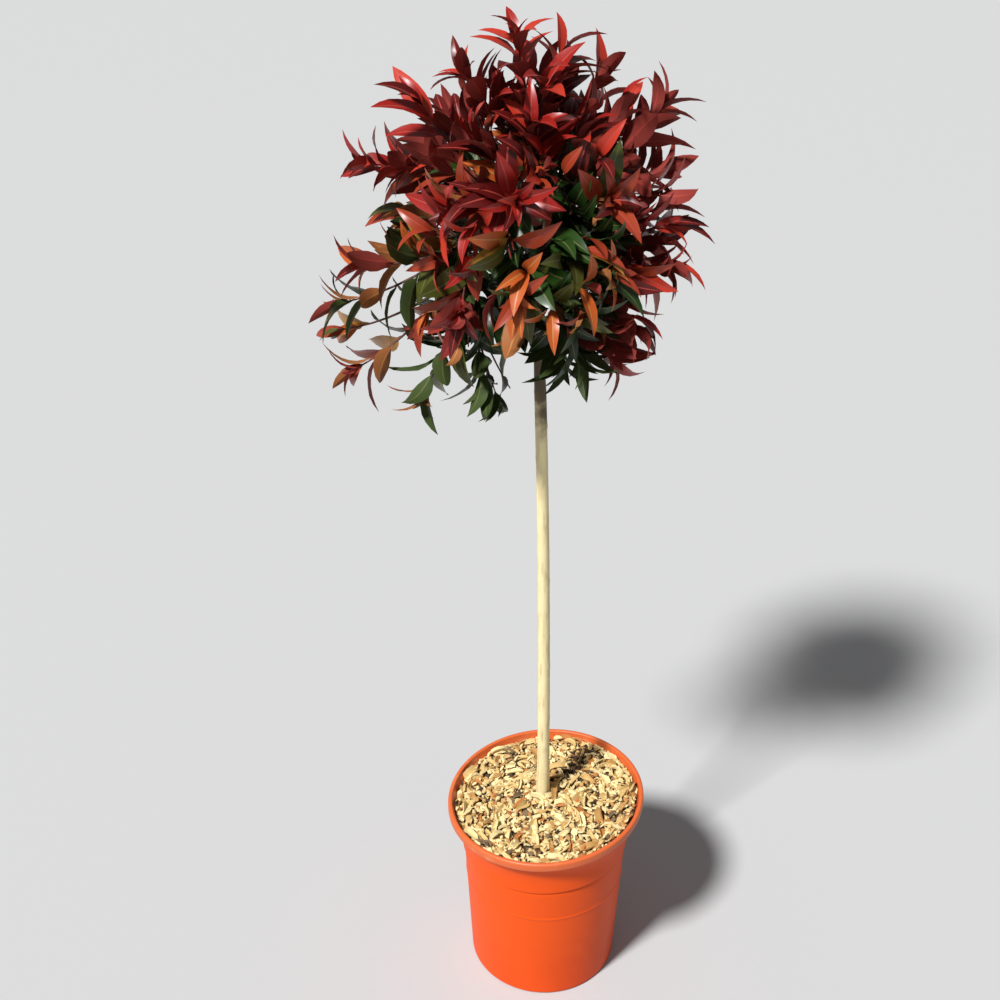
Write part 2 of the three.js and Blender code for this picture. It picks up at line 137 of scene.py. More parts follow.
# ---- Growth ----
@dataclass
class Leaf:
    """One leaf: its root, the directions along it, across it and out of its upper face, and its age."""

    root: Array
    forward: Array
    side: Array
    normal: Array
    length: float
    age: float
    key: int


@dataclass
class Shoot:
    """One shoot of a mass: its number in the growth rule, its tip, its curve and its leaves."""

    index: int
    tip: Array
    bend: Bend | None = None
    radius: float = 0.0019
    leaves: list[Leaf] = field(default_factory=list)


@dataclass
class Mass:
    """One mass of foliage: its space's heart, its bough's tip, the bough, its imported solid's box, its shoots."""

    name: str
    heart: Array
    fork: Array
    bough: Bend | None
    box: tuple[Array, Array]
    shoots: list[Shoot] = field(default_factory=list)
    twig_trees: list[BVHTree] = field(default_factory=list)
    leaf_trees: list[BVHTree] = field(default_factory=list)


@dataclass(frozen=True)
class Ring:
    """A ring of masses round the crown, in degrees, shares of the crown's reach, and metres."""

    name: str
    count: int
    elevation: float
    azimuth: float
    fork: float
    leaves_stem_at: float


@dataclass
class Crown:
    """The plant's growth rule: the stem's curve, the rings of masses, and the shoots and leaves of each."""

    stem_foot: tuple = (-0.0026, 0.005, 0.194 + GAP)
    stem_halfway: tuple = (-0.007, 0.001)
    stem_tip: tuple = (-0.020, -0.002, 0.872)
    foot_radius: float = 0.0061
    crown_radius: float = 0.0053
    crown_height: float = 0.680
    tip_radius: float = 0.0026
    flare: float = 0.0018
    flare_height: float = 0.035
    centre: tuple = (-0.026, 0.0, 0.850)
    reach: tuple = (0.112, 0.106, 0.118)
    shoot_count: int = 50
    lowest: float = -0.72
    unevenness: float = 0.3
    shoulder: float = 0.12
    heart_share: float = 0.66
    bough_spacing: float = 0.008
    bough_sag: float = 0.007
    bough_radii: tuple = (0.0031, 0.0022)
    twig_steps: int = 3
    twig_rise: float = 0.14
    twig_tip: float = 0.0009
    stem_twig: float = 0.0026
    shoot_twig: float = 0.0019
    clear: float = 0.0006
    retry_tries: int = 4
    retry_drawn_in: float = 0.08
    retry_moved_up: float = 0.13
    leaf_count: int = 12
    leaf_stretch: float = 0.096
    leaf_length: float = 0.052
    leaf_tip_share: float = 0.62
    leaf_width: float = 0.5
    slim_width: float = 0.30
    leaf_widest: float = 0.5
    leaf_thickness: float = 0.02
    leaf_fold: float = 0.07
    leaf_droop: float = 0.14
    leaf_angles: tuple = (24.0, 74.0)
    leaf_sunk: float = 0.3
    leaf_turns: tuple = (0.0, 0.6, -0.6, 1.2, -1.2)
    slack: float = 0.002
    tip_leaves: int = 6
    tip_angles: tuple = (14.0, 70.0)
    tip_lengths: tuple = (0.022, 0.036)
    first_tip_leaf: int = 500000
    first_side_twig: int = 1000
    first_inner_twig: int = 3000
    inner_twigs: int = 8
    inner_overlap: float = 0.008
    inner_from: tuple = (0.735, 0.79)
    side_places: tuple = (0.05, 0.15, 0.26, 0.38)
    sparse_beyond: float = -0.105
    side_lengths: tuple = (0.026, 0.046)
    side_radius: float = 0.0011
    side_leaves: int = 8
    side_leaf_length: float = 0.046
    rings: tuple = (
        Ring("leader", 1, 90, 0, 0, 0),
        Ring("upper", 4, 26, 248, 0.36, 0.808),
        Ring("middle", 5, -20, 212, 0.42, 0.776),
        Ring("lower", 3, -50, 190, 0.58, 0.732),
    )
    strays: tuple = (
        (-0.033, 0, 0.990),
        (-0.070, 0, 0.962),
        (-0.106, -0.020, 0.948),
        (0.028, 0.010, 0.954),
        (0.077, 0.020, 0.929),
        (-0.146, 0, 0.893),
        (0.084, -0.020, 0.850),
        (0.088, -0.020, 0.816),
        (0.066, -0.040, 0.768),
        (-0.152, -0.038, 0.824),
        (-0.170, -0.040, 0.792),
        (-0.186, -0.030, 0.758),
        (-0.162, -0.038, 0.732),
        (-0.108, -0.040, 0.712),
        (-0.060, -0.038, 0.722),
        (-0.038, -0.022, 0.702),
        (0.018, -0.046, 0.750),
        (-0.050, -0.032, 0.702),
        (0.004, -0.034, 0.742),
        (0.042, -0.042, 0.746),
        (-0.030, -0.088, 0.824),
        (0.012, -0.080, 0.806),
    )

    def __post_init__(self) -> None:
        """Grows the stem, the boughs, the shoots and their leaves."""
        foot, tip = np.array(self.stem_foot), np.array(self.stem_tip)
        halfway = np.array([*self.stem_halfway, (foot[2] + tip[2]) / 2])
        self.stem = Bend(foot, 2 * halfway - 0.5 * foot - 0.5 * tip, tip)
        self.masses = self.plan()
        self.limbs = self.limb_segments()
        self.branch()
        for mass in self.masses:
            self.bear_leaves(mass)
            self.bear_side_twigs(mass)
            self.bear_tip_leaves(mass)
            self.bear_inner_twigs(mass)

    def up_stem(self, height: float) -> float:
        """The share of the stem's curve below a height."""
        return (height - self.stem.start[2]) / (self.stem.end[2] - self.stem.start[2])

    def stem_radius(self, t: float) -> float:
        """The stem's radius a share of the way up."""
        rise = t * (self.stem.end[2] - self.stem.start[2])
        clear = self.up_stem(self.crown_height)
        if t < clear:
            plain = mix(self.foot_radius, self.crown_radius, t / clear)
        else:
            plain = mix(self.crown_radius, self.tip_radius, (t - clear) / (1 - clear))
        return plain + self.flare * math.exp(-rise / self.flare_height)

    def bough_radius(self, t: float) -> float:
        """A bough's radius a share of the way along."""
        return mix(*self.bough_radii, t)

    def out_along(self, direction: Array, share: float) -> Array:
        """The point a share of the crown's reach out along a direction."""
        return np.array(self.centre) + direction * np.array(self.reach) * share

    def outwardness(self, point: Array) -> float:
        """How far out a point lies, as a share of the crown's reach."""
        return float(np.linalg.norm((point - np.array(self.centre)) / np.array(self.reach)))

    def plan(self) -> list[Mass]:
        """Each mass with its heart, its fork and its bough, with no shoots yet."""
        masses = []
        for ring in self.rings:
            for i in range(ring.count):
                azimuth = math.radians(ring.azimuth + 360 * i / ring.count)
                rise = math.radians(ring.elevation)
                direction = np.array(
                    [math.cos(azimuth) * math.cos(rise), math.sin(azimuth) * math.cos(rise), math.sin(rise)]
                )
                name = f"{ring.name}_{i + 1}" if ring.count > 1 else ring.name
                fork, bough = self.stem.end, None
                if ring.leaves_stem_at:
                    fork = self.out_along(direction, ring.fork)
                    foot = self.stem.point(self.up_stem(ring.leaves_stem_at - self.bough_spacing * i))
                    bough = Bend(foot, (foot + fork) / 2 - UP * self.bough_sag, fork)
                box = tuple(np.array(corner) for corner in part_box(f"foliage_{name}"))
                masses.append(Mass(name, self.out_along(direction, self.heart_share), fork, bough, box))
        return masses

    def limb_segments(self) -> tuple[Array, Array, Array]:
        """The stem and the boughs as straight segments: their starts, their ends and their radii."""
        starts, ends, radii = [], [], []
        limbs = [(self.stem, self.stem_radius, 40)]
        limbs += [(mass.bough, self.bough_radius, 8) for mass in self.masses if mass.bough]
        for bend, radius_at, steps in limbs:
            for i in range(steps):
                starts.append(bend.point(i / steps))
                ends.append(bend.point((i + 1) / steps))
                radii.append(radius_at(i / steps))
        return np.array(starts), np.array(ends), np.array(radii)

    def clear_of_limbs(self, points: Array, margin: float) -> bool:
        """True if every point is clear of the stem and of every bough."""
        starts, ends, radii = self.limbs
        spans = ends - starts
        away = points[:, None] - starts[None]
        shares = np.clip((away * spans).sum(2) / (spans * spans).sum(1), 0, 1)
        distances = np.linalg.norm(away - shares[..., None] * spans, axis=2)
        return bool((distances >= radii + margin).all())

    def inside(self, mass: Mass, points: Array) -> float:
        """How far inside a mass's own space the points lie: nearer to its heart than to another's."""
        others = np.array([m.heart for m in self.masses if m is not mass])
        apart = others - mass.heart
        middles = (others + mass.heart) / 2
        depths = ((middles[None] - points[:, None]) * apart).sum(2) / np.linalg.norm(apart, axis=1)
        return float(depths.min())

    def shoot_tips(self) -> list[Array]:
        """The tips of all the shoots: an even spiral over the crown's reach, with the strays after it."""
        draws = Draws(11)
        tips = []
        for i in range(self.shoot_count):
            height = 1 - (i + 0.5) / self.shoot_count * (1 - self.lowest)
            flat = math.sqrt(1 - height * height)
            turn = i * GOLDEN_ANGLE
            direction = np.array([flat * math.cos(turn), flat * math.sin(turn), height])
            drawn_in = self.shoulder * 4 * max(height, 0) ** 2 * flat**2
            tips.append(self.out_along(direction, (1 - self.unevenness * draws.next()) * (1 - drawn_in)))
        return tips + [np.array(tip, dtype=float) for tip in self.strays]

    def branch(self) -> None:
        """Gives each mass its shoots: the first is its stem, and the others branch from that."""
        for index, tip in enumerate(self.shoot_tips()):
            nearest = min(self.masses, key=lambda mass: np.linalg.norm(mass.heart - tip))
            nearest.shoots.append(Shoot(index, tip))
        for mass in self.masses:
            mass.shoots.sort(key=lambda shoot: np.linalg.norm(shoot.tip - mass.heart))
            stem, *others = mass.shoots
            lead = (mass.bough or self.stem).along(1)
            start = mass.fork + lead * GAP
            length = np.linalg.norm(stem.tip - start)
            stem.bend = Bend(start, start + lead * 0.4 * length, stem.tip)
            stem.radius = self.stem_twig
            for i, shoot in enumerate(others):
                self.fork_off(mass, stem, shoot, 0.12 + 0.5 * (i + 1) / len(mass.shoots))
            mass.shoots = [stem] + [shoot for shoot in others if shoot.bend]

    def fork_off(self, mass: Mass, stem: Shoot, shoot: Shoot, share: float) -> None:
        """Gives a shoot its curve from a mass's stem, or none if it finds no room."""
        for t in range(self.retry_tries):
            root = stem.bend.straight(share + self.retry_moved_up * t, self.twig_steps)
            tip = shoot.tip + (mass.heart - shoot.tip) * self.retry_drawn_in * t
            length = np.linalg.norm(tip - root)
            bend = Bend(root, (root + tip) / 2 - UP * self.twig_rise * length, tip)
            margin = self.clear + self.shoot_twig
            points = np.array([bend.point(at) for at in (0.1, 0.25, 0.5, 0.75, 1)])
            if self.inside(mass, points) > margin and self.clear_of_limbs(points, margin):
                shoot.bend = bend
                shoot.radius = self.shoot_twig
                return

    def leaf_shapes(self, shoot: Shoot) -> list[tuple[float, float, float, float, float]]:
        """Each leaf of a shoot, lowest first: its age, its place, its turn, its angle and its length."""
        draws = Draws(1000 + shoot.index)
        phase = 2 * math.pi * draws.next()
        length = np.linalg.norm(shoot.bend.end - shoot.bend.start)
        bare = max(0.1, 1 - self.leaf_stretch / length)
        shapes = []
        for i in range(self.leaf_count):
            age = 1 - i / (self.leaf_count - 1)
            a, b, c = draws.next(), draws.next(), draws.next()
            near, wide = (math.radians(angle) for angle in self.leaf_angles)
            place = bare + (0.98 - bare) * (1 - age**1.25)
            turn = phase + i * GOLDEN_ANGLE + 0.5 * (a - 0.5)
            angle = mix(near, wide, age**0.8) + 0.3 * (b - 0.5)
            fullness = mix(self.leaf_tip_share, 1, math.sin(math.pi * (0.12 + 0.6 * age)))
            shapes.append((age, place, turn, angle, self.leaf_length * fullness * (0.85 + 0.3 * c)))
        return shapes

    def placed(self, bend: Bend, place: float, turn: float, angle: float, length: float, age: float, key: int) -> Leaf:
        """A leaf on a twig, turned round it and opened from it by the given angles."""
        along = bend.along(place)
        level = np.cross(UP, along)
        aside = unit(level) if level @ level > 1e-4 else np.array([1.0, 0, 0])
        top = np.cross(along, aside)
        outward = aside * math.cos(turn) + top * math.sin(turn)
        forward = along * math.cos(angle) + outward * math.sin(angle)
        across = unit(np.cross(forward, along))
        normal = unit(np.cross(across, forward))
        return Leaf(bend.straight(place, self.twig_steps), forward, -across, normal, length, age, key)

    def outline(self, leaf: Leaf, sunk: float, width: float) -> Array:
        """The six corners of a plain faceted leaf, which the rule tests for room."""
        half, middle = leaf.length * width / 2, leaf.length * self.leaf_widest
        thick = leaf.length * self.leaf_thickness
        edge = leaf.length * self.leaf_fold + thick / 2
        places = (
            (-sunk, 0, 0),
            (middle, -half, edge),
            (leaf.length, 0, -leaf.length * self.leaf_droop),
            (middle, half, edge),
            (middle, 0, thick),
            (middle, 0, -thick / 2),
        )
        return leaf.root + np.array(places) @ np.array([leaf.forward, leaf.side, leaf.normal])

    def has_room(self, mass: Mass, corners: Array, margin: float) -> bool:
        """True if a leaf keeps to its mass's space, less a margin, and clear of the limbs."""
        middles = (corners[0] + corners[1:4]) / 2
        points = np.vstack([corners, middles])
        return self.inside(mass, points) > margin and self.clear_of_limbs(points, self.clear + 0.001)

    def bear_leaves(self, mass: Mass) -> None:
        """Gives a mass's shoots their leaves, each where it first finds room."""
        mass.twig_trees = [self.twig_tree(shoot) for shoot in mass.shoots]
        for shoot, own in zip(mass.shoots, mass.twig_trees):
            for number, shape in enumerate(self.leaf_shapes(shoot)):
                self.find_room(mass, shoot, own, shape, shoot.index * 100 + number)
        leaves = [leaf for shoot in mass.shoots for leaf in shoot.leaves]
        mass.leaf_trees = [self.leaf_tree(self.outline(leaf, 0.0, self.slim_width)) for leaf in leaves]

    def twig_tree(self, shoot: Shoot) -> BVHTree:
        """A shoot's twig, as a tree of faces that leaves are tested against."""
        points, faces = limb_mesh(shoot.bend, self.taper(shoot), 3, self.twig_steps)
        return BVHTree.FromPolygons(points.tolist(), faces)

    def leaf_tree(self, corners: Array) -> BVHTree:
        """A plain leaf, as a tree of faces that others are tested against."""
        return BVHTree.FromPolygons(corners.tolist(), LEAF_FACES)

    def find_room(self, mass: Mass, shoot: Shoot, own: BVHTree, shape: tuple, key: int) -> None:
        """Adds a leaf to a shoot in the first turn round it that leaves it room, if there is one.

        Args:
            mass: the shoot's mass.
            shoot: the shoot.
            own: the shoot's own twig, which the leaf may touch.
            shape: the leaf's age, place, turn, angle and length.
            key: the leaf's number.
        """
        age, place, turn, angle, length = shape
        finer = shoot.index >= self.first_side_twig
        for extra in self.leaf_turns:
            leaf = self.placed(shoot.bend, place, turn + extra, angle, length, age, key)
            width = self.slim_width if finer else self.leaf_width
            corners = self.outline(leaf, self.leaf_sunk * self.taper(shoot)(place), width)
            margin = -self.inner_overlap if shoot.index >= self.first_inner_twig else self.clear
            if not self.has_room(mass, corners, margin) or (finer and not self.keeps(mass, shoot.index, corners)):
                continue
            tree = self.leaf_tree(corners)
            others = mass.leaf_trees + [twig for twig in mass.twig_trees if twig is not own]
            if not any(tree.overlap(other) for other in others):
                mass.leaf_trees.append(tree)
                shoot.leaves.append(leaf)
                return

    def bear_tip_leaves(self, mass: Mass) -> None:
        """Gives each shoot a tuft of its youngest leaves, whose roots crowd round its tip."""
        for shoot in [shoot for shoot in mass.shoots if shoot.index < self.first_side_twig]:
            draws = Draws(3000 + shoot.index)
            phase = math.tau * draws.next()
            for i in range(self.tip_leaves):
                share = i / self.tip_leaves
                angle = math.radians(mix(*self.tip_angles, share)) + draws.spread(0.12)
                turn = phase + i * GOLDEN_ANGLE
                length = mix(*self.tip_lengths, share) * (1 + draws.spread(0.15))
                key = self.first_tip_leaf + 100 * shoot.index + i
                leaf = self.placed(shoot.bend, mix(0.99, 0.955, share), turn, angle, length, 0.25 * share, key)
                corners = self.outline(leaf, 0.0, self.slim_width)
                if self.has_room(mass, corners, self.clear) and self.within_reach(mass, corners):
                    shoot.leaves.append(leaf)

    def bear_side_twigs(self, mass: Mass) -> None:
        """Carries a mass's shoots on to finer side twigs with leaves of their own, wherever they find room."""
        for shoot in [shoot for shoot in mass.shoots if shoot.tip[0] > self.sparse_beyond]:
            draws = Draws(5000 + shoot.index)
            for i, place in enumerate(self.side_places):
                turn = i * GOLDEN_ANGLE + math.tau * draws.next()
                number = self.first_side_twig + 10 * shoot.index + i
                self.side_twig(mass, shoot.bend, place, turn, number, draws)

    def bear_inner_twigs(self, mass: Mass) -> None:
        """Gives a mass short twigs of old leaves that fill the crown's middle, on its bough and on the stem."""
        lowest, leading = self.inner_from
        parents = [(self.stem, self.up_stem(lowest if mass.bough else leading))]
        if mass.bough:
            parents.append((mass.bough, 0.25))
        number = self.first_inner_twig + 100 * self.masses.index(mass)
        draws = Draws(number)
        for parent, low in parents:
            for i in range(self.inner_twigs):
                place = mix(low, 0.98, i / (self.inner_twigs - 1))
                turn = i * GOLDEN_ANGLE + math.tau * draws.next()
                self.side_twig(mass, parent, place, turn, number, draws)
                number += 1

    def side_twig(self, mass: Mass, parent: Bend, place: float, turn: float, number: int, draws: Draws) -> None:
        """Adds one side twig with its leaves, if it finds room.

        Args:
            mass: the mass that it belongs to.
            parent: the curve that it grows from.
            place: the share of the way along the parent.
            turn: the direction round the parent, in radians.
            number: the twig's number.
            draws: the stream of chances that shape it.
        """
        spread, length = math.radians(58 + draws.spread(14)), mix(*self.side_lengths, draws.next())
        along = parent.along(place)
        for extra in self.leaf_turns:
            stand = self.placed(parent, place, turn + extra, spread, length, 0.0, 0)
            root = parent.point(place)
            tip = root + (stand.forward * 0.85 + along * 0.25 + UP * 0.12) * length
            side = Shoot(number, tip, Bend(root, root + stand.forward * 0.5 * length, tip), self.side_radius)
            if self.fits(mass, side):
                self.leaf_out(mass, side, draws)
                return

    def fits(self, mass: Mass, side: Shoot) -> bool:
        """True if a side twig keeps to its mass's space, within its reach and clear of the limbs."""
        points = np.array([side.bend.point(at) for at in (0.3, 0.6, 1)])
        room = self.inside(mass, points) > self.clear and self.keeps(mass, side.index, points)
        return room and self.clear_of_limbs(points, self.clear + side.radius)

    def keeps(self, mass: Mass, number: int, points: Array) -> bool:
        """True if the points of a finer twig keep within reach, which inner twigs always do."""
        return number >= self.first_inner_twig or self.within_reach(mass, points)

    def within_reach(self, mass: Mass, points: Array) -> bool:
        """True if the points keep to the box of the mass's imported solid."""
        low, high = mass.box
        return bool((points >= low - self.slack).all() and (points <= high + self.slack).all())

    def leaf_out(self, mass: Mass, side: Shoot, draws: Draws) -> None:
        """Gives a side twig its leaves, and keeps it if it bears any."""
        tree = self.twig_tree(side)
        mass.twig_trees.append(tree)
        phase = math.tau * draws.next()
        for i in range(self.side_leaves):
            age = 1 - i / (self.side_leaves - 1)
            near, wide = (math.radians(angle) for angle in self.leaf_angles)
            shape = (
                age, mix(0.25, 0.97, 1 - age**1.2), phase + i * GOLDEN_ANGLE,
                mix(near, wide, age**0.8) + draws.spread(0.2),
                self.side_leaf_length * mix(0.68, 1, math.sin(math.pi * (0.15 + 0.6 * age))) * (1 + draws.spread(0.15)),
            )  # fmt: skip
            self.find_room(mass, side, tree, shape, side.index * 100 + i)
        if side.leaves:
            mass.shoots.append(side)

    def taper(self, shoot: Shoot) -> Callable[[float], float]:
        """A shoot's radius as a function of the share of the way along it."""
        return lambda t: mix(shoot.radius, self.twig_tip, t)


LEAF_FACES = [
    (0, 4, 3), (3, 4, 2), (2, 4, 1), (1, 4, 0),
    (3, 5, 0), (2, 5, 3), (1, 5, 2), (0, 5, 1),
]  # fmt: skip


def limb_mesh(bend: Bend, radius_at: Callable[[float], float], sides: int, steps: int) -> tuple[Array, list]:
    """The corners and faces of a round limb with flat ends.

    Args:
        bend: the limb's curve.
        radius_at: the radius as a function of the share of the way along.
        sides: how many sides the limb has.
        steps: how many lengths it is made of.

    Returns:
        The corners as rows of an array, and the faces as tuples of corner numbers.
    """
    turns = np.arange(sides) * 2 * math.pi / sides
    rings = []
    for step, (middle, across, other, _) in enumerate(bend.frames(steps)):
        spokes = np.outer(np.cos(turns), across) + np.outer(np.sin(turns), other)
        rings.append(middle + radius_at(step / steps) * spokes)
    faces = []
    for step in range(steps):
        for side in range(sides):
            after = (side + 1) % sides
            low, high = step * sides, (step + 1) * sides
            faces.append((low + side, low + after, high + after, high + side))
    faces.append(tuple(reversed(range(sides))))
    faces.append(tuple(range(steps * sides, (steps + 1) * sides)))
    return np.vstack(rings), faces


# ---- Meshes ----
def joined(name: str, blocks: list[tuple[Array, list, list]], angle: float = 70) -> bpy.types.Mesh:
    """One mesh from many small shapes.

    Args:
        name: the mesh's name.
        blocks: for each shape its corners, its faces and the number of each face's material.
        angle: the fold in degrees past which an edge is sharp.

    Returns:
        The mesh, shaded smooth except where it folds sharply.
    """
    corners, faces, materials, count = [], [], [], 0
    for points, shape_faces, shape_materials in blocks:
        corners.append(points)
        faces += [tuple(corner + count for corner in face) for face in shape_faces]
        materials += shape_materials
        count += len(points)
    mesh = bpy.data.meshes.new(name)
    mesh.from_pydata(np.vstack(corners).tolist(), [], faces)
    mesh.polygons.foreach_set("material_index", materials)
    return smoothed(mesh, angle)


def smoothed(mesh: bpy.types.Mesh, angle: float) -> bpy.types.Mesh:
    """A mesh shaded smooth, with the edges that fold by more than an angle in degrees kept sharp."""
    mesh.shade_smooth()
    mesh.set_sharp_from_angle(angle=math.radians(angle))
    return mesh


def from_bmesh(name: str, bm: bmesh.types.BMesh, angle: float = 40) -> bpy.types.Mesh:
    """The mesh of a finished bmesh, which is then freed."""
    mesh = bpy.data.meshes.new(name)
    bm.to_mesh(mesh)
    bm.free()
    return smoothed(mesh, angle)


def as_block(bm: bmesh.types.BMesh) -> tuple[Array, list, list]:
    """The corners, the faces and the faces' material numbers of a small shape, whose bmesh is then freed."""
    bm.verts.index_update()
    points = np.array([vert.co[:] for vert in bm.verts])
    faces = [tuple(vert.index for vert in face.verts) for face in bm.faces]
    materials = [face.material_index for face in bm.faces]
    bm.free()
    return points, faces, materials


def dress(mesh: bpy.types.Mesh, materials: list, slot: str, *nodes: str) -> bpy.types.Object:
    """Makes a mesh a piece of the object.

    Args:
        mesh: the finished mesh, with its place in it.
        materials: the materials that its faces number.
        slot: the record's material slot.
        nodes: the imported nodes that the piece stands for.

    Returns:
        The piece's object.
    """
    piece = bpy.data.objects.new(mesh.name, mesh)
    bpy.context.scene.collection.objects.link(piece)
    for material in materials:
        mesh.materials.append(material)
    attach(piece, BODY)
    if nodes:
        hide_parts(*nodes)
    triangles = sum(len(face.vertices) - 2 for face in mesh.polygons)
    LOG.info("%s: %d triangles, %s", piece.name, triangles, slot)
    return piece


def lathe(profile: list[tuple[float, float]], steps: int) -> bmesh.types.BMesh:
    """A closed solid spun about Z from a closed profile of radii and heights."""
    bm = bmesh.new()
    verts = [bm.verts.new((radius, 0, height)) for radius, height in profile]
    edges = [bm.edges.new(pair) for pair in zip(verts, verts[1:] + verts[:1]) if off_axis(*pair)]
    bmesh.ops.spin(
        bm, geom=verts + edges, cent=(0, 0, 0), axis=(0, 0, 1), angle=math.tau, steps=steps, use_merge=True
    )
    bmesh.ops.remove_doubles(bm, verts=bm.verts, dist=1e-6)
    bmesh.ops.recalc_face_normals(bm, faces=bm.faces)
    return bm


def off_axis(*verts: bmesh.types.BMVert) -> bool:
    """True unless all the vertices stand on the Z axis."""
    return any(vert.co.x > 1e-7 for vert in verts)


def arc(centre: tuple, radius: float, start: float, end: float, steps: int) -> list[tuple[float, float]]:
    """Profile points on an arc between two angles in degrees, counted from outwards round to upwards."""
    angles = [math.radians(mix(start, end, i / steps)) for i in range(steps + 1)]
    return [(centre[0] + radius * math.cos(a), centre[1] + radius * math.sin(a)) for a in angles]


# ---- Shader groups ----
class Wiring:
    """Shorthand for the nodes and links of one node tree."""

    def __init__(self, tree: bpy.types.NodeTree) -> None:
        """Works on a tree."""
        self.tree = tree

    def add(self, kind: str, inputs: dict | None = None, **settings: object) -> bpy.types.Node:
        """Adds a node.

        Args:
            kind: the node's type.
            inputs: for a socket's name or number, either a value or another node's output.
            settings: the node's own settings.

        Returns:
            The node.
        """
        node = self.tree.nodes.new(kind)
        for name, value in settings.items():
            setattr(node, name, value)
        for name, value in (inputs or {}).items():
            if isinstance(value, bpy.types.NodeSocket):
                self.tree.links.new(value, node.inputs[name])
            else:
                node.inputs[name].default_value = value
        return node


def new_group(name: str, inputs: dict[str, tuple], outputs: dict[str, str]) -> tuple[Wiring, dict, Callable]:
    """Starts a shader node group.

    Args:
        name: the group's name.
        inputs: for each input's name its kind of socket and its usual value.
        outputs: for each output's name its kind of socket.

    Returns:
        The group's wiring, its inputs' sockets by name, and a function that joins an output.
    """
    tree = bpy.data.node_groups.new(name, "ShaderNodeTree")
    for label, (kind, value) in inputs.items():
        socket = tree.interface.new_socket(name=label, in_out="INPUT", socket_type=f"NodeSocket{kind}")
        socket.default_value = value
    for label, kind in outputs.items():
        tree.interface.new_socket(name=label, in_out="OUTPUT", socket_type=f"NodeSocket{kind}")
    wiring = Wiring(tree)
    inside, outside = wiring.add("NodeGroupInput"), wiring.add("NodeGroupOutput")
    sockets = {label: inside.outputs[label] for label in inputs}

    def give(label: str, output: bpy.types.NodeSocket) -> None:
        """Joins a node's output to the group's."""
        tree.links.new(output, outside.inputs[label])

    return wiring, sockets, give


def stretched_place(wiring: Wiring, stretch: bpy.types.NodeSocket) -> bpy.types.NodeSocket:
    """Object coordinates, scaled along each axis."""
    place = wiring.add("ShaderNodeTexCoord").outputs["Object"]
    return wiring.add(
        "ShaderNodeVectorMath", {0: place, 1: stretch}, operation="MULTIPLY"
    ).outputs["Vector"]


def mottling_group() -> bpy.types.NodeTree:
    """Patches of a second colour over a first, in a pattern that can be stretched."""
    wiring, given, give = new_group(
        "mottling",
        {
            "Ground": ("Color", (0.5, 0.5, 0.5, 1)),
            "Patches": ("Color", (0.2, 0.2, 0.2, 1)),
            "Stretch": ("Vector", (1, 1, 1)),
            "Scale": ("Float", 40),
            "Cover": ("Float", 0.5),
            "Softness": ("Float", 0.2),
        },
        {"Colour": "Color", "Mask": "Float"},
    )
    place = stretched_place(wiring, given["Stretch"])
    pattern = wiring.add(
        "ShaderNodeTexNoise", {"Vector": place, "Scale": given["Scale"], "Detail": 5, "Roughness": 0.6}
    )
    low = wiring.add("ShaderNodeMath", {0: given["Cover"], 1: given["Softness"]}, operation="SUBTRACT")
    high = wiring.add("ShaderNodeMath", {0: given["Cover"], 1: given["Softness"]}, operation="ADD")
    mask = wiring.add(
        "ShaderNodeMapRange",
        {"Value": pattern.outputs[0], "From Min": low.outputs[0], "From Max": high.outputs[0]},
        interpolation_type="SMOOTHSTEP",
    ).outputs["Result"]
    blend = wiring.add(
        "ShaderNodeMix", {"Factor": mask, "A": given["Ground"], "B": given["Patches"]}, data_type="RGBA"
    )
    give("Colour", blend.outputs["Result"])
    give("Mask", mask)
    return wiring.tree


def grain_group() -> bpy.types.NodeTree:
    """The height of a fine grain, for a bump, and the same grain as a shade from 0 to 1."""
    wiring, given, give = new_group(
        "grain",
        {"Stretch": ("Vector", (1, 1, 1)), "Scale": ("Float", 400), "Depth": ("Float", 1)},
        {"Height": "Float", "Shade": "Float"},
    )
    place = stretched_place(wiring, given["Stretch"])
    pattern = wiring.add(
        "ShaderNodeTexNoise", {"Vector": place, "Scale": given["Scale"], "Detail": 6, "Roughness": 0.65}
    ).outputs[0]
    height = wiring.add("ShaderNodeMath", {0: pattern, 1: given["Depth"]}, operation="MULTIPLY")
    give("Height", height.outputs[0])
    give("Shade", pattern)
    return wiring.tree


def height_fade_group() -> bpy.types.NodeTree:
    """A mask that rises from 0 to 1 between two heights, with a ragged edge."""
    wiring, given, give = new_group(
        "height_fade",
        {"From": ("Float", 0), "To": ("Float", 1), "Ragged": ("Float", 0.01), "Scale": ("Float", 60)},
        {"Mask": "Float"},
    )
    place = wiring.add("ShaderNodeTexCoord").outputs["Object"]
    height = wiring.add("ShaderNodeSeparateXYZ", {0: place}).outputs["Z"]
    pattern = wiring.add("ShaderNodeTexNoise", {"Vector": place, "Scale": given["Scale"], "Detail": 4})
    centred = wiring.add("ShaderNodeMath", {0: pattern.outputs[0], 1: 0.5}, operation="SUBTRACT")
    shifted = wiring.add(
        "ShaderNodeMath", {0: centred.outputs[0], 1: given["Ragged"], 2: height}, operation="MULTIPLY_ADD"
    )
    mask = wiring.add(
        "ShaderNodeMapRange",
        {"Value": shifted.outputs[0], "From Min": given["From"], "From Max": given["To"]},
        interpolation_type="SMOOTHSTEP",
    )
    give("Mask", mask.outputs["Result"])
    return wiring.tree


@dataclass
class Groups:
    """The shader groups, each built once."""

    mottling: bpy.types.NodeTree = field(default_factory=mottling_group)
    grain: bpy.types.NodeTree = field(default_factory=grain_group)
    height_fade: bpy.types.NodeTree = field(default_factory=height_fade_group)


# ---- Finishes ----
def opaque(colour: Colour) -> tuple[float, float, float, float]:
    """A colour with its alpha."""
    return (*colour, 1.0)


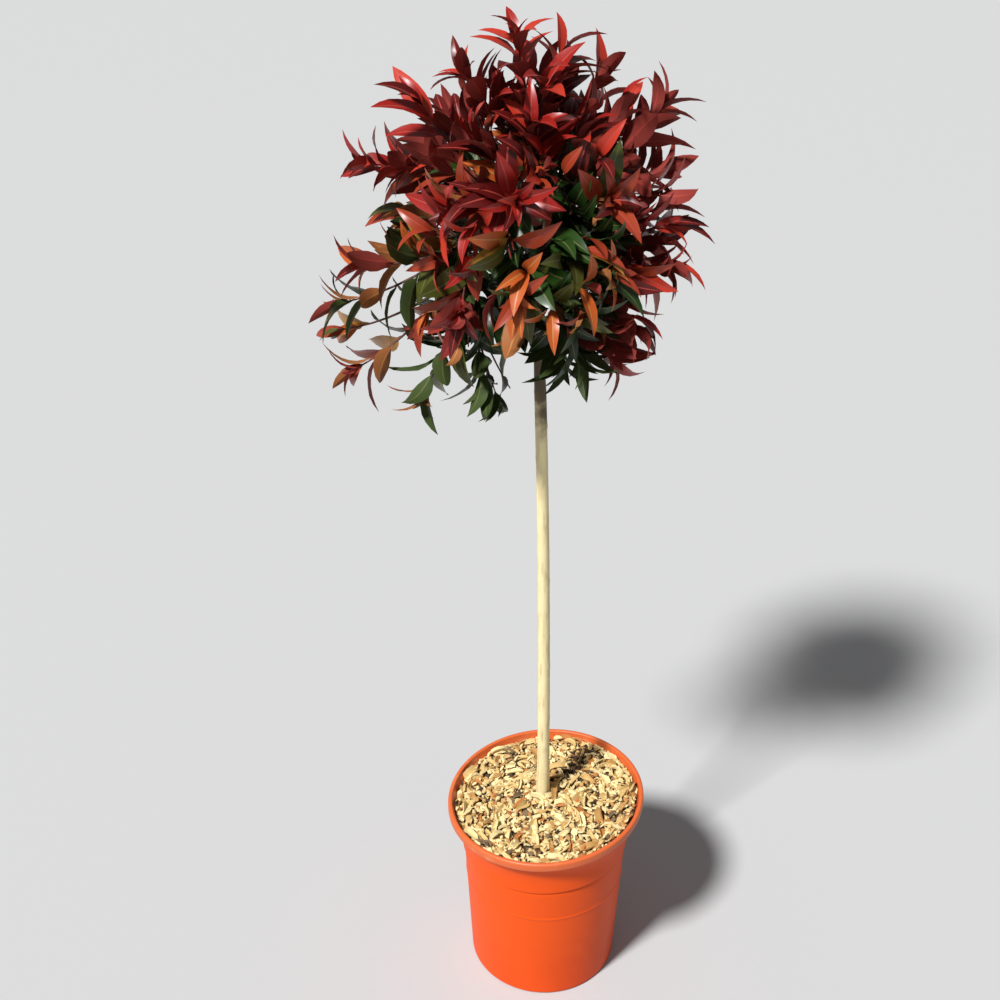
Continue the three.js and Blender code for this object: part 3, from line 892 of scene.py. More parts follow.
def new_material(name: str, **values: object) -> tuple[bpy.types.Material, Wiring, bpy.types.Node]:
    """A material with one Principled shader, whose plain values are given by socket name with _ for spaces."""
    material = bpy.data.materials.new(name)
    material.use_nodes = True
    shader = material.node_tree.nodes["Principled BSDF"]
    for label, value in values.items():
        shader.inputs[label.replace("_", " ")].default_value = value
    if "Base_Color" in values:
        material.diffuse_color = values["Base_Color"]
    return material, Wiring(material.node_tree), shader


@dataclass(frozen=True)
class PlainFinish:
    """One plain colour all over, as on a leaf, a twig or a chip."""

    name: str
    colour: Colour
    roughness: float = 0.6
    coat: float = 0.0
    shine: float = 0.5

    def material(self) -> bpy.types.Material:
        """The finish as a material."""
        return new_material(
            self.name,
            Base_Color=opaque(self.colour),
            Roughness=self.roughness,
            Coat_Weight=self.coat,
            Coat_Roughness=0.22,
            Specular_IOR_Level=self.shine,
        )[0]


@dataclass(frozen=True)
class PatternedFinish:
    """A ground colour with stretched patches, a fade between two heights, and a fine grain."""

    name: str
    ground: Colour
    patches: Colour
    upper: Colour
    fade: tuple[float, float]
    stretch: tuple[float, float, float] = (1, 1, 1)
    scale: float = 40
    cover: float = 0.55
    softness: float = 0.2
    ragged: float = 0.03
    grain_scale: float = 500
    grain_depth: float = 0.0002
    roughness: tuple[float, float] = (0.5, 0.7)
    shine: float = 0.5

    def material(self, groups: Groups) -> bpy.types.Material:
        """The finish as a material, built from the shared groups."""
        material, wiring, shader = new_material(self.name, Specular_IOR_Level=self.shine)
        mottled = wiring.add(
            "ShaderNodeGroup",
            {
                "Ground": opaque(self.ground), "Patches": opaque(self.patches), "Stretch": self.stretch,
                "Scale": self.scale, "Cover": self.cover, "Softness": self.softness,
            },
            node_tree=groups.mottling,
        )  # fmt: skip
        fade = wiring.add(
            "ShaderNodeGroup",
            {"From": self.fade[0], "To": self.fade[1], "Ragged": self.ragged},
            node_tree=groups.height_fade,
        )
        coloured = wiring.add(
            "ShaderNodeMix",
            {"Factor": fade.outputs["Mask"], "A": mottled.outputs["Colour"], "B": opaque(self.upper)},
            data_type="RGBA",
        )
        grain = wiring.add(
            "ShaderNodeGroup",
            {"Stretch": self.stretch, "Scale": self.grain_scale, "Depth": 1.0},
            node_tree=groups.grain,
        )
        low, high = self.roughness
        gloss = wiring.add(
            "ShaderNodeMapRange", {"Value": grain.outputs["Shade"], "To Min": low, "To Max": high}
        )
        bump = wiring.add(
            "ShaderNodeBump",
            {"Height": grain.outputs["Height"], "Distance": self.grain_depth, "Strength": 0.6},
        )
        for label, output in (
            ("Base Color", coloured.outputs["Result"]),
            ("Roughness", gloss.outputs["Result"]),
            ("Normal", bump.outputs["Normal"]),
        ):
            wiring.tree.links.new(output, shader.inputs[label])
        return material


class Tint(Enum):
    """The colours of a leaf's upper side, from the oldest and greenest to the youngest and reddest, with a deep crimson
    that is partly painted shade.
    """

    DARK_GREEN = (0.007, 0.020, 0.003)
    GREEN = (0.016, 0.044, 0.006)
    OLIVE = (0.060, 0.066, 0.010)
    GOLD = (0.42, 0.19, 0.028)
    ORANGE = (0.42, 0.085, 0.016)
    BRONZE = (0.28, 0.036, 0.012)
    CRIMSON = (0.27, 0.0105, 0.0070)
    # A darker copy of crimson: partly dark red leaves, partly painted shade in the crown.
    DEEP_CRIMSON = (0.090, 0.0042, 0.0032)
    SCARLET = (0.42, 0.030, 0.014)


class Back(Enum):
    """The colours of a leaf's underside."""

    PALE_GREEN = (0.045, 0.070, 0.018)
    PALE_BRONZE = (0.30, 0.11, 0.036)
    PALE_RED = (0.24, 0.036, 0.028)


class Rib(Enum):
    """The colours of a leaf's midrib and stalk."""

    GREEN_RIB = (0.10, 0.11, 0.035)
    BRONZE_RIB = (0.48, 0.20, 0.06)
    RED_RIB = (0.34, 0.045, 0.032)


class TwigAge(Enum):
    """The colours of a twig, by its age."""

    WOODY = (0.075, 0.045, 0.028)
    BROWN = (0.085, 0.026, 0.016)
    RED = (0.17, 0.018, 0.014)


class ChipTint(Enum):
    """The colours of the wood chips."""

    CREAM = (0.76, 0.61, 0.31)
    STRAW = (0.64, 0.45, 0.18)
    TAN = (0.48, 0.27, 0.085)
    RUSTY = (0.42, 0.16, 0.035)
    GREY_BROWN = (0.17, 0.11, 0.055)
    DARK_BROWN = (0.06, 0.03, 0.013)


def palette(tints: type[Enum], prefix: str, *gloss: float) -> list[bpy.types.Material]:
    """A plain material for each of some tints, in their order, with the gloss that PlainFinish lists."""
    return [PlainFinish(f"{prefix}_{tint.name.lower()}", tint.value, *gloss).material() for tint in tints]


POT_PLASTIC = PatternedFinish(
    "pot_plastic", ground=(0.76, 0.076, 0.004), patches=(0.64, 0.056, 0.003), upper=(0.76, 0.082, 0.005),
    fade=(0.02, 0.10), stretch=(1, 1, 0.35), scale=16, cover=0.58, softness=0.2, ragged=0.10,
    grain_scale=900, grain_depth=0.00006, roughness=(0.42, 0.55), shine=0.15,
)  # fmt: skip
LIP_PLASTIC = PatternedFinish(
    "lip_plastic", ground=(0.66, 0.135, 0.036), patches=(0.66, 0.24, 0.105), upper=(0.62, 0.12, 0.03),
    fade=(0.18, 0.21), stretch=(1, 1, 0.5), scale=30, cover=0.48, softness=0.25, ragged=0.10,
    grain_scale=900, grain_depth=0.00006, roughness=(0.36, 0.52), shine=0.4,
)  # fmt: skip
# Pale bark with darker streaks. Above the fade heights the stem turns to the dark upper colour, which is painted shade
# of the crown on the stem's top.
STEM_BARK_AND_CROWN_SHADE = PatternedFinish(
    "stem_bark", ground=(0.82, 0.70, 0.39), patches=(0.56, 0.42, 0.21), upper=(0.105, 0.070, 0.030),
    fade=(0.645, 0.682), stretch=(1, 1, 0.12), scale=330, cover=0.62, softness=0.18, ragged=0.08,
    grain_scale=900, grain_depth=0.0003, roughness=(0.55, 0.8),
)  # fmt: skip
BOUGH_BARK = PatternedFinish(
    "bough_bark", ground=(0.13, 0.085, 0.05), patches=(0.07, 0.042, 0.026), upper=(0.09, 0.045, 0.028),
    fade=(0.80, 0.90), stretch=(1, 1, 0.3), scale=300, cover=0.5, softness=0.15, ragged=0.05,
    grain_scale=900, grain_depth=0.0003, roughness=(0.55, 0.8),
)  # fmt: skip
COMPOST = PatternedFinish(
    "compost", ground=(0.030, 0.018, 0.010), patches=(0.075, 0.045, 0.024), upper=(0.045, 0.028, 0.015),
    fade=(0.10, 0.18), scale=160, cover=0.56, softness=0.12, ragged=0.04, grain_scale=700,
    grain_depth=0.001, roughness=(0.85, 1.0),
)  # fmt: skip
MULCH_BED = PatternedFinish(
    "mulch_bed", ground=(0.045, 0.024, 0.011), patches=(0.16, 0.09, 0.038), upper=(0.09, 0.050, 0.022),
    fade=(0.200, 0.215), scale=220, cover=0.55, softness=0.10, ragged=0.02, grain_scale=600,
    grain_depth=0.001, roughness=(0.8, 1.0),
)  # fmt: skip


# ---- Pot ----
@dataclass
class Pot:
    """The thin moulded pot: a tapering wall, a step, a flared collar and a rolled lip that has warped."""

    height: float = 0.215
    wall: float = 0.002
    floor: float = 0.003
    base_radius: float = 0.0763
    foot_round: float = 0.0025
    ring_height: float = 0.118
    ring_depth: float = 0.0005
    step_height: float = 0.160
    step_radius: float = 0.0838
    collar_radius: float = 0.0856
    flare_radius: float = 0.0950
    flare_power: float = 3.0
    lip_depth: float = 0.010
    lip_radius: float = 0.100
    lip_inner: float = 0.0955
    rim_lean: float = 0.072
    lean_from: float = 0.080
    flare_shares: tuple = (0.12, 0.3, 0.45, 0.58, 0.69, 0.78, 0.86, 0.93, 1.0)
    drain_count: int = 6
    drain_radius: float = 0.005
    drain_circle: float = 0.052
    steps: int = 144

    def wall_radius(self, height: float) -> float:
        """The radius of the outer wall at a height, below the lip."""
        if height <= self.step_height:
            share = (height - self.foot_round) / (self.step_height - self.foot_round)
            return mix(self.base_radius, self.step_radius, share)
        share = (height - self.step_height) / (self.height - self.lip_depth - self.step_height)
        return mix(self.collar_radius, self.flare_radius, share**self.flare_power)

    def lift(self, x: float, height: float) -> float:
        """How far the warp of the rim lifts a point that stands at x."""
        return self.rim_lean * x * smoothly((height - self.lean_from) / (self.height - self.lean_from))

    def outside(self) -> list[tuple[float, float]]:
        """The profile of the outer wall, from the middle of the base up to the lip's top."""
        rounding, ring, step = self.foot_round, self.ring_height, self.step_height
        lip_foot, roll = self.height - self.lip_depth, 0.0022
        foot = (self.base_radius - rounding, rounding)
        points = [(0, 0), *arc(foot, rounding, -90, -4, 6)]
        points += [(self.wall_radius(z), z) for z in (0.005, 0.03, 0.06, 0.09, ring - 0.0032, ring - 0.0016)]
        points += [(self.wall_radius(ring) + self.ring_depth, z) for z in (ring - 0.0006, ring + 0.0006)]
        points += [(self.wall_radius(z), z) for z in (ring + 0.0016, ring + 0.0032, step - 0.008, step - 0.0036)]
        points += [(self.step_radius - 0.0007, step - 0.0018), (self.step_radius - 0.0008, step - 0.0008)]
        points += arc((self.collar_radius - 0.0012, step + 0.0006), 0.0012, -80, 0, 5)
        rise = lip_foot - step
        points += [(self.wall_radius(step + rise * share), step + rise * share) for share in self.flare_shares]
        points += arc((self.lip_radius - 0.0022, lip_foot + 0.0022), 0.0022, -80, 0, 5)
        points += arc((self.lip_radius - roll, self.height - roll), roll, 0, 90, 6)
        return points

    def inside(self) -> list[tuple[float, float]]:
        """The profile of the inner wall, from the lip's top down to the middle of the floor."""
        lip_foot, step, roll = self.height - self.lip_depth, self.step_height, 0.0014
        points = arc((self.lip_inner + roll, self.height - roll), roll, 90, 180, 5)
        for share in reversed(self.flare_shares):
            height = mix(step, lip_foot, share)
            points.append((self.wall_radius(height) - self.wall, height))
        for z in (step - 0.001, 0.12, 0.08, 0.04, self.foot_round + 0.002):
            points.append((self.wall_radius(z) - self.wall, z))
        return points + [(self.base_radius - self.wall - 0.0025, self.floor), (0, self.floor)]

    def build(self, groups: Groups) -> bpy.types.Object:
        """Builds and dresses the pot."""
        bm = lathe(self.outside() + self.inside(), self.steps)
        for vert in bm.verts:
            vert.co.z += self.lift(vert.co.x, vert.co.z)
        shell = bpy.data.objects.new("shell", from_bmesh("shell", bm))
        drills = bpy.data.objects.new("drills", self.drills())
        mesh = cut(shell, drills, "pot_shell")
        for face in mesh.polygons:
            x, _, z = face.center
            face.material_index = int(z - self.lift(x, self.height) > self.height - self.lip_depth + 0.0003)
        finishes = [POT_PLASTIC.material(groups), LIP_PLASTIC.material(groups)]
        return dress(smoothed(mesh, 35), finishes, "pot_plastic", "pot")

    def drills(self) -> bpy.types.Mesh:
        """The cylinders that cut the drain holes."""
        bm = bmesh.new()
        for i in range(self.drain_count):
            turn = math.tau * i / self.drain_count
            place = (self.drain_circle * math.cos(turn), self.drain_circle * math.sin(turn), 0)
            bmesh.ops.create_cone(
                bm, cap_ends=True, segments=24, radius1=self.drain_radius, radius2=self.drain_radius,
                depth=4 * self.floor, matrix=Matrix.Translation(place),
            )  # fmt: skip
        return from_bmesh("drills", bm)


def cut(body: bpy.types.Object, tool: bpy.types.Object, name: str) -> bpy.types.Mesh:
    """The mesh of a body less a tool, both of which are then removed."""
    for obj in (body, tool):
        bpy.context.scene.collection.objects.link(obj)
    modifier = body.modifiers.new("cut", "BOOLEAN")
    modifier.operation, modifier.solver, modifier.object = "DIFFERENCE", "EXACT", tool
    evaluated = body.evaluated_get(bpy.context.evaluated_depsgraph_get())
    mesh = bpy.data.meshes.new_from_object(evaluated)
    mesh.name = name
    for obj in (body, tool):
        spare = obj.data
        bpy.data.objects.remove(obj)
        bpy.data.meshes.remove(spare)
    return mesh


# ---- Wood chips ----
class ChipShape(Enum):
    """The kinds of wood chip: how many there are of each, and their least and greatest length."""

    CRUMB = (0.70, 0.0030, 0.0095)
    SPLINTER = (0.22, 0.0050, 0.0130)
    SHAVING = (0.08, 0.0090, 0.0220)


@dataclass
class Mulch:
    """The layer of wood chips: an uneven dark bed with many loose chips lying on it in a few layers."""

    pot: Pot
    bottom: float = 0.194 + GAP
    top: float = 0.2055
    lean: float = 0.09
    hollow: float = 0.0085
    stem_foot: tuple = (-0.0026, 0.005)
    bed_rings: int = 26
    bed_relief: float = 0.0024
    heap: float = 0.003
    heap_reach: float = 0.035
    chip_count: int = 3000
    variants: int = 4
    rise: float = 0.0060
    stem_clear: float = 0.0085
    pale_shares: tuple = (9, 7, 2.5, 1.8, 0.6, 0.3)
    # The dark shares weigh the tints of chips that are dirty or stand in painted shade: low in the pile and in the
    # streak behind the stem.
    dark_shares: tuple = (1, 2, 2.5, 1.5, 4, 6)
    # The streak of dark chips behind the stem is painted shadow of the stem over bare soil.
    streak: tuple = (0.032, 0.048)
    streak_turn: float = 0.85
    streak_reach: tuple = (0.038, 0.012)
    seed: int = 40

    def reach(self, height: float) -> float:
        """How far out the layer goes at a height, just clear of the pot's wall."""
        return self.pot.wall_radius(height) - self.pot.wall - 0.0008

    def surface(self, x: float, y: float) -> float:
        """The height of the bed's top."""
        lumps = noise.noise((x * 45, y * 45, 0.3)) + 0.5 * noise.noise((x * 130, y * 130, 2.1))
        heap = self.heap * math.exp(-(x * x + y * y) / self.heap_reach**2)
        return self.top + heap + self.bed_relief * lumps + self.lean * x

    def build(self, groups: Groups) -> None:
        """Builds and dresses the bed and the chips."""
        self.bed(groups)
        dress(self.chips(), palette(ChipTint, "chip", 0.78), "wood_chips", "wood_chips")

    def bed(self, groups: Groups) -> None:
        """Builds and dresses the bed."""
        outer = self.reach(self.top)
        foot = self.reach(self.bottom - self.pot.rim_lean * self.pot.step_radius)
        radii = [mix(outer, self.hollow, i / self.bed_rings) for i in range(self.bed_rings + 1)]
        profile = [(self.hollow, self.bottom), (foot, self.bottom)] + [(radius, self.top) for radius in radii]
        bm = lathe(profile, 120)
        for vert in bm.verts:
            inward = 1 - (vert.co.xy.length - self.hollow) / (outer - self.hollow)
            vert.co.xy += Vector(self.stem_foot) * max(inward, 0) ** 2
            if vert.co.z > self.top - 1e-5:
                vert.co.z = self.surface(vert.co.x, vert.co.y)
        mesh = from_bmesh("mulch_bed", bm)
        dress(mesh, [MULCH_BED.material(groups)], "wood_chips", "wood_chips")

    def crumb(self, draws: Draws) -> bmesh.types.BMesh:
        """A small broken lump of wood, one unit long."""
        bm = bmesh.new()
        bmesh.ops.create_icosphere(bm, subdivisions=1, radius=0.5)
        for vert in bm.verts:
            vert.co *= 1 + draws.spread(0.30)
            vert.co.y *= 0.70
            vert.co.z *= 0.42
        return bm

    def splinter(self, draws: Draws) -> bmesh.types.BMesh:
        """A split length of wood, one unit long, with torn ends."""
        bm = bmesh.new()
        bmesh.ops.create_cube(bm, size=1)
        lengthwise = [edge for edge in bm.edges if abs(edge.verts[0].co.x - edge.verts[1].co.x) > 0.5]
        bmesh.ops.subdivide_edges(bm, edges=lengthwise, cuts=2)
        bend = draws.spread(0.25)
        for vert in bm.verts:
            narrow = 1 - 0.45 * abs(2 * vert.co.x) ** 2
            vert.co.x += draws.spread(0.09)
            vert.co.y = vert.co.y * 0.30 * narrow + draws.spread(0.03)
            vert.co.z = vert.co.z * 0.16 * narrow + draws.spread(0.025) + bend * (0.25 - vert.co.x**2)
        return bm

    def shaving(self, draws: Draws) -> bmesh.types.BMesh:
        """A thin curled shaving, one unit long."""
        bm = bmesh.new()
        bmesh.ops.create_grid(bm, x_segments=5, y_segments=2, size=0.5)
        curl, skew, taper = mix(0.5, 1.3, draws.next()), draws.spread(0.3), mix(0.4, 1.0, draws.next())
        for vert in bm.verts:
            x, y = vert.co.x, vert.co.y
            vert.co.x += 0.4 * skew * y + draws.spread(0.03)
            vert.co.y = 0.36 * y * (1 - (1 - taper) * abs(2 * x) ** 1.6) + skew * (x * x - 0.1) + draws.spread(0.03)
            vert.co.z = curl * (0.2 - x * x) * 0.6 + 0.7 * y * y
        bmesh.ops.solidify(bm, geom=bm.verts[:] + bm.edges[:] + bm.faces[:], thickness=0.06)
        return bm

    def shapes(self) -> dict[ChipShape, list]:
        """The variants of each kind of chip."""
        makers = {
            ChipShape.CRUMB: self.crumb, ChipShape.SPLINTER: self.splinter, ChipShape.SHAVING: self.shaving,
        }  # fmt: skip
        shapes = {}
        for kind, maker in makers.items():
            shapes[kind] = []
            for i in range(self.variants):
                bm = maker(Draws(self.seed + i))
                bmesh.ops.recalc_face_normals(bm, faces=bm.faces)
                shapes[kind].append(as_block(bm))
        return shapes

    def chips(self) -> bpy.types.Mesh:
        """The loose chips as one mesh."""
        shapes = self.shapes()
        draws = Draws(self.seed)
        reach = self.reach(self.top)
        blocks = []
        for i in range(self.chip_count):
            kind = self.kind(draws.next())
            points, faces, _ = shapes[kind][i % self.variants]
            _, least, greatest = kind.value
            length = mix(least, greatest, draws.next() ** 1.5)
            level = draws.next()
            turn, far = i * GOLDEN_ANGLE, math.sqrt((i + 0.5) / self.chip_count)
            radius = reach * far + draws.spread(0.0025)
            heading = draws.spread(math.pi)
            if radius > reach - 0.5 * length:
                heading = turn + math.pi / 2 + draws.spread(0.35)
            radius = min(radius, reach - 0.22 * length)
            x, y = radius * math.cos(turn), radius * math.sin(turn)
            from_stem = Vector((x, y)) - Vector(self.stem_foot)
            if from_stem.length < self.stem_clear + 0.5 * length:
                heading = math.atan2(from_stem.y, from_stem.x) + math.pi / 2 + draws.spread(0.35)
                apart = max(from_stem.length, self.stem_clear + 0.22 * length)
                x, y = Vector(self.stem_foot) + apart * from_stem.normalized()
            tilt = 0.12 + 0.55 * level
            pose = (
                Matrix.Translation((x, y, self.surface(x, y) + self.rise * level**1.4 - 0.0005))
                @ Matrix.Rotation(heading, 4, "Z")
                @ Matrix.Rotation(draws.spread(tilt), 4, "Y")
                @ Matrix.Rotation(draws.spread(tilt + 0.3), 4, "X")
            )
            size = length * np.array([1, 1 + draws.spread(0.3), 1 + draws.spread(0.3)])
            # Chips low in the pile take the dark tints: partly dirt, partly painted shade under the chips above.
            low = kind != ChipShape.SHAVING and level < 0.35
            dark = low or draws.next() < self.bare_soil_and_stem_shadow(x, y)
            tint = self.tint(draws.next(), self.dark_shares if dark else self.pale_shares)
            blocks.append((turned_by(points * size, pose), faces, [tint] * len(faces)))
        return joined("wood_chips_loose", blocks, 28)

    def kind(self, chance: float) -> ChipShape:
        """The kind of chip that a chance from 0 to 1 picks."""
        for kind in ChipShape:
            chance -= kind.value[0]
            if chance < 0:
                return kind
        return ChipShape.SHAVING

    def bare_soil_and_stem_shadow(self, x: float, y: float) -> float:
        """How far pale chips are missing at a place, from 0 to 1: most in a streak behind the stem, of bare soil and
        painted stem shadow.
        """
        away = Vector((x, y)) - Vector(self.streak)
        along = Vector((math.cos(self.streak_turn), math.sin(self.streak_turn)))
        length, width = away.dot(along) / self.streak_reach[0], away.cross(along) / self.streak_reach[1]
        return math.exp(-(length**2) - width**2)

    def tint(self, chance: float, shares: tuple) -> int:
        """The number of the tint that a chance from 0 to 1 picks by the tints' shares."""
        chance *= sum(shares)
        for number, share in enumerate(shares):
            chance -= share
            if chance < 0:
                return number
        return 0


def turned_by(points: Array, pose: Matrix) -> Array:
    """Points moved by a pose."""
    matrix = np.array(pose)
    return points @ matrix[:3, :3].T + matrix[:3, 3]


# ---- Stem and boughs ----
@dataclass
class Limbs:
    """The stem and the boughs, with the relief of their bark."""

    crown: Crown
    stem_sides: int = 32
    bough_sides: int = 16
    spacing: float = 0.0035
    streaks: float = 0.022
    scar_spacing: float = 0.034
    scar_rise: float = 0.07

    def build(self, groups: Groups) -> None:
        """Builds and dresses the stem and each bough."""
        stem = self.limb("stem", self.crown.stem, self.crown.stem_radius, self.stem_sides, 3)
        # The stem's material paints the crown's shade on the top of the stem.
        dress(stem, [STEM_BARK_AND_CROWN_SHADE.material(groups)], "stem_bark", "trunk")
        bark = BOUGH_BARK.material(groups)
        for number, mass in enumerate(mass for mass in self.crown.masses if mass.bough):
            limb = self.limb(f"limb_{mass.name}", mass.bough, self.crown.bough_radius, self.bough_sides, number)
            dress(limb, [bark], "bough_bark", f"bough_{mass.name}")

    def limb(self, name: str, bend: Bend, radius_at: Callable, sides: int, seed: int) -> bpy.types.Mesh:
        """A limb's mesh: a ring extruded along its curve, then roughened.

        Args:
            name: the mesh's name.
            bend: the limb's curve.
            radius_at: the radius as a function of the share of the way along.
            sides: how many sides each ring has.
            seed: the place of the limb's bark in the pattern of noise.

        Returns:
            The mesh.
        """
        length = float(np.linalg.norm(bend.end - bend.start))
        steps = max(6, round(length / self.spacing))
        poses = []
        for step, (middle, across, other, along) in enumerate(bend.frames(steps)):
            turn = Matrix((across, other, along)).transposed().to_4x4()
            poses.append(Matrix.Translation(middle) @ turn @ Matrix.Scale(radius_at(step / steps), 4))
        bm = bmesh.new()
        ring = bmesh.ops.create_circle(bm, cap_ends=True, radius=1, segments=sides, matrix=poses[0])["verts"]
        edges = [edge for edge in bm.edges]
        self.roughen(ring, poses[0], 0, radius_at(0), seed)
        for step in range(1, steps + 1):
            bmesh.ops.transform(bm, matrix=Matrix.Identity(4), verts=ring)
            extruded = bmesh.ops.extrude_edge_only(bm, edges=edges)["geom"]
            edges = [item for item in extruded if isinstance(item, bmesh.types.BMEdge)]
            edges = [edge for edge in edges if not any(vert in ring for vert in edge.verts)]
            ring = [item for item in extruded if isinstance(item, bmesh.types.BMVert)]
            for vert in ring:
                flat = poses[step - 1].inverted() @ vert.co
                vert.co = poses[step] @ Vector((flat.x, flat.y, 0)).normalized()
            self.roughen(ring, poses[step], length * step / steps, radius_at(step / steps), seed)
        bmesh.ops.holes_fill(bm, edges=edges, sides=0)
        bmesh.ops.recalc_face_normals(bm, faces=bm.faces)
        return from_bmesh(name, bm, 60)

    def roughen(self, ring: list, pose: Matrix, place: float, radius: float, seed: int) -> None:
        """Gives one ring the bark's streaks and scars, where it lies at a place along its limb."""
        middle = pose.translation
        for vert in ring:
            out = (vert.co - middle).normalized()
            streak = noise.noise(Vector((out.x * 2.6, out.y * 2.6, place * 30 + 7.3 * seed + out.z)))
            fine = noise.noise(Vector((out.x * 9, out.y * 9, place * 90 + 7.3 * seed)))
            number = math.floor(place / self.scar_spacing)
            around = Vector((math.cos(number * 2.4), math.sin(number * 2.4), 0))
            near = math.exp(-(((place / self.scar_spacing - number - 0.5) / 0.07) ** 2))
            scar = near * (0.35 + max(0.0, out.dot(around)) ** 4)
            vert.co = middle + out * radius * (1 + self.streaks * (streak + 0.5 * fine) + self.scar_rise * scar)


# ---- Foliage ----
@dataclass
class LeafShape:
    """A leaf one unit long, along X with its upper side to +Z: a stalk, a blade with a midrib, and an underside."""

    stalk: float = 0.09
    stalk_half: float = 0.017
    half_width: float = 0.185
    thick: float = 0.012
    rows: tuple = (0.0, 0.09, 0.17, 0.29, 0.43, 0.58, 0.73, 0.87, 1.0)
    across: tuple = (-1.0, -0.085, 0.085, 1.0)
    upper: int = 0
    rib: int = 1
    under: int = 2

    def half_at(self, place: float) -> float:
        """Half the leaf's width at a place along it."""
        share = max(0.0, (place - self.stalk) / (1 - self.stalk))
        blade = 2.745 * share**0.6 * (1 - share) ** 0.9
        return max(self.half_width * blade, self.stalk_half if place < 0.5 else 0.0)

    def __post_init__(self) -> None:
        """Builds the template's points, faces and kinds of face."""
        lengthwise, crosswise = len(self.rows) - 1, len(self.across) - 1
        bm = bmesh.new()
        bmesh.ops.create_grid(bm, x_segments=lengthwise, y_segments=crosswise, size=0.5)
        for face in bm.faces:
            face.material_index = self.rib if abs(face.calc_center_median().y) < 0.5 / crosswise else self.upper
        spots = {}
        for vert in bm.verts:
            row, column = round((vert.co.x + 0.5) * lengthwise), round((vert.co.y + 0.5) * crosswise)
            place, aside = self.rows[row], self.across[column]
            spots[vert] = (place, aside)
            vert.co = (place, aside * self.half_at(place), 0)
        copied = bmesh.ops.duplicate(bm, geom=bm.verts[:] + bm.edges[:] + bm.faces[:])
        backs = [item for item in copied["geom"] if isinstance(item, bmesh.types.BMFace)]
        for face in backs:
            face.material_index = self.rib if face.material_index == self.rib else self.under
        bmesh.ops.reverse_faces(bm, faces=backs)
        for original, copy in copied["vert_map"].items():
            if original in spots:
                place, aside = spots[original]
                depth = self.thick * (1 - abs(aside)) * (2.2 if place < 0.2 else 1.3 - place)
                copy.co.z -= depth if 0 < place < 1 else 0.0
        bmesh.ops.remove_doubles(bm, verts=bm.verts, dist=1e-5)
        self.points, self.faces, self.kinds = as_block(bm)

    def shaped(self, leaf: Leaf, draws: Draws) -> Array:
        """The points of one leaf of the plant, folded, curled and put in its place."""
        x, y, z = self.points.T.copy()
        age = leaf.age
        y *= mix(0.70, 1.14, age) * (1 + draws.spread(0.10))
        half = self.half_width
        fold = mix(0.55, 0.20, age) + draws.spread(0.10)
        droop = mix(0.13, 0.16, age) + draws.spread(0.06)
        arch = mix(0.13, 0.05, age) + draws.spread(0.05)
        wave, phase = 0.012 + 0.012 * draws.next(), math.tau * draws.next()
        sweep, twist = draws.spread(0.05), draws.spread(0.35)
        z += fold * np.abs(y) * (1 - 0.5 * np.abs(y) / half) - droop * x**2.2 + 4 * arch * x * (1 - x)
        z += wave * np.sin(11 * x + phase + 1.3 * np.sign(y)) * (y / half) ** 2
        y += sweep * x**2
        angle = twist * x
        y, z = y * np.cos(angle) - z * np.sin(angle), y * np.sin(angle) + z * np.cos(angle)
        local = np.stack([x, y, z], axis=1) * leaf.length
        return leaf.root + local @ np.array([leaf.forward, leaf.side, leaf.normal])


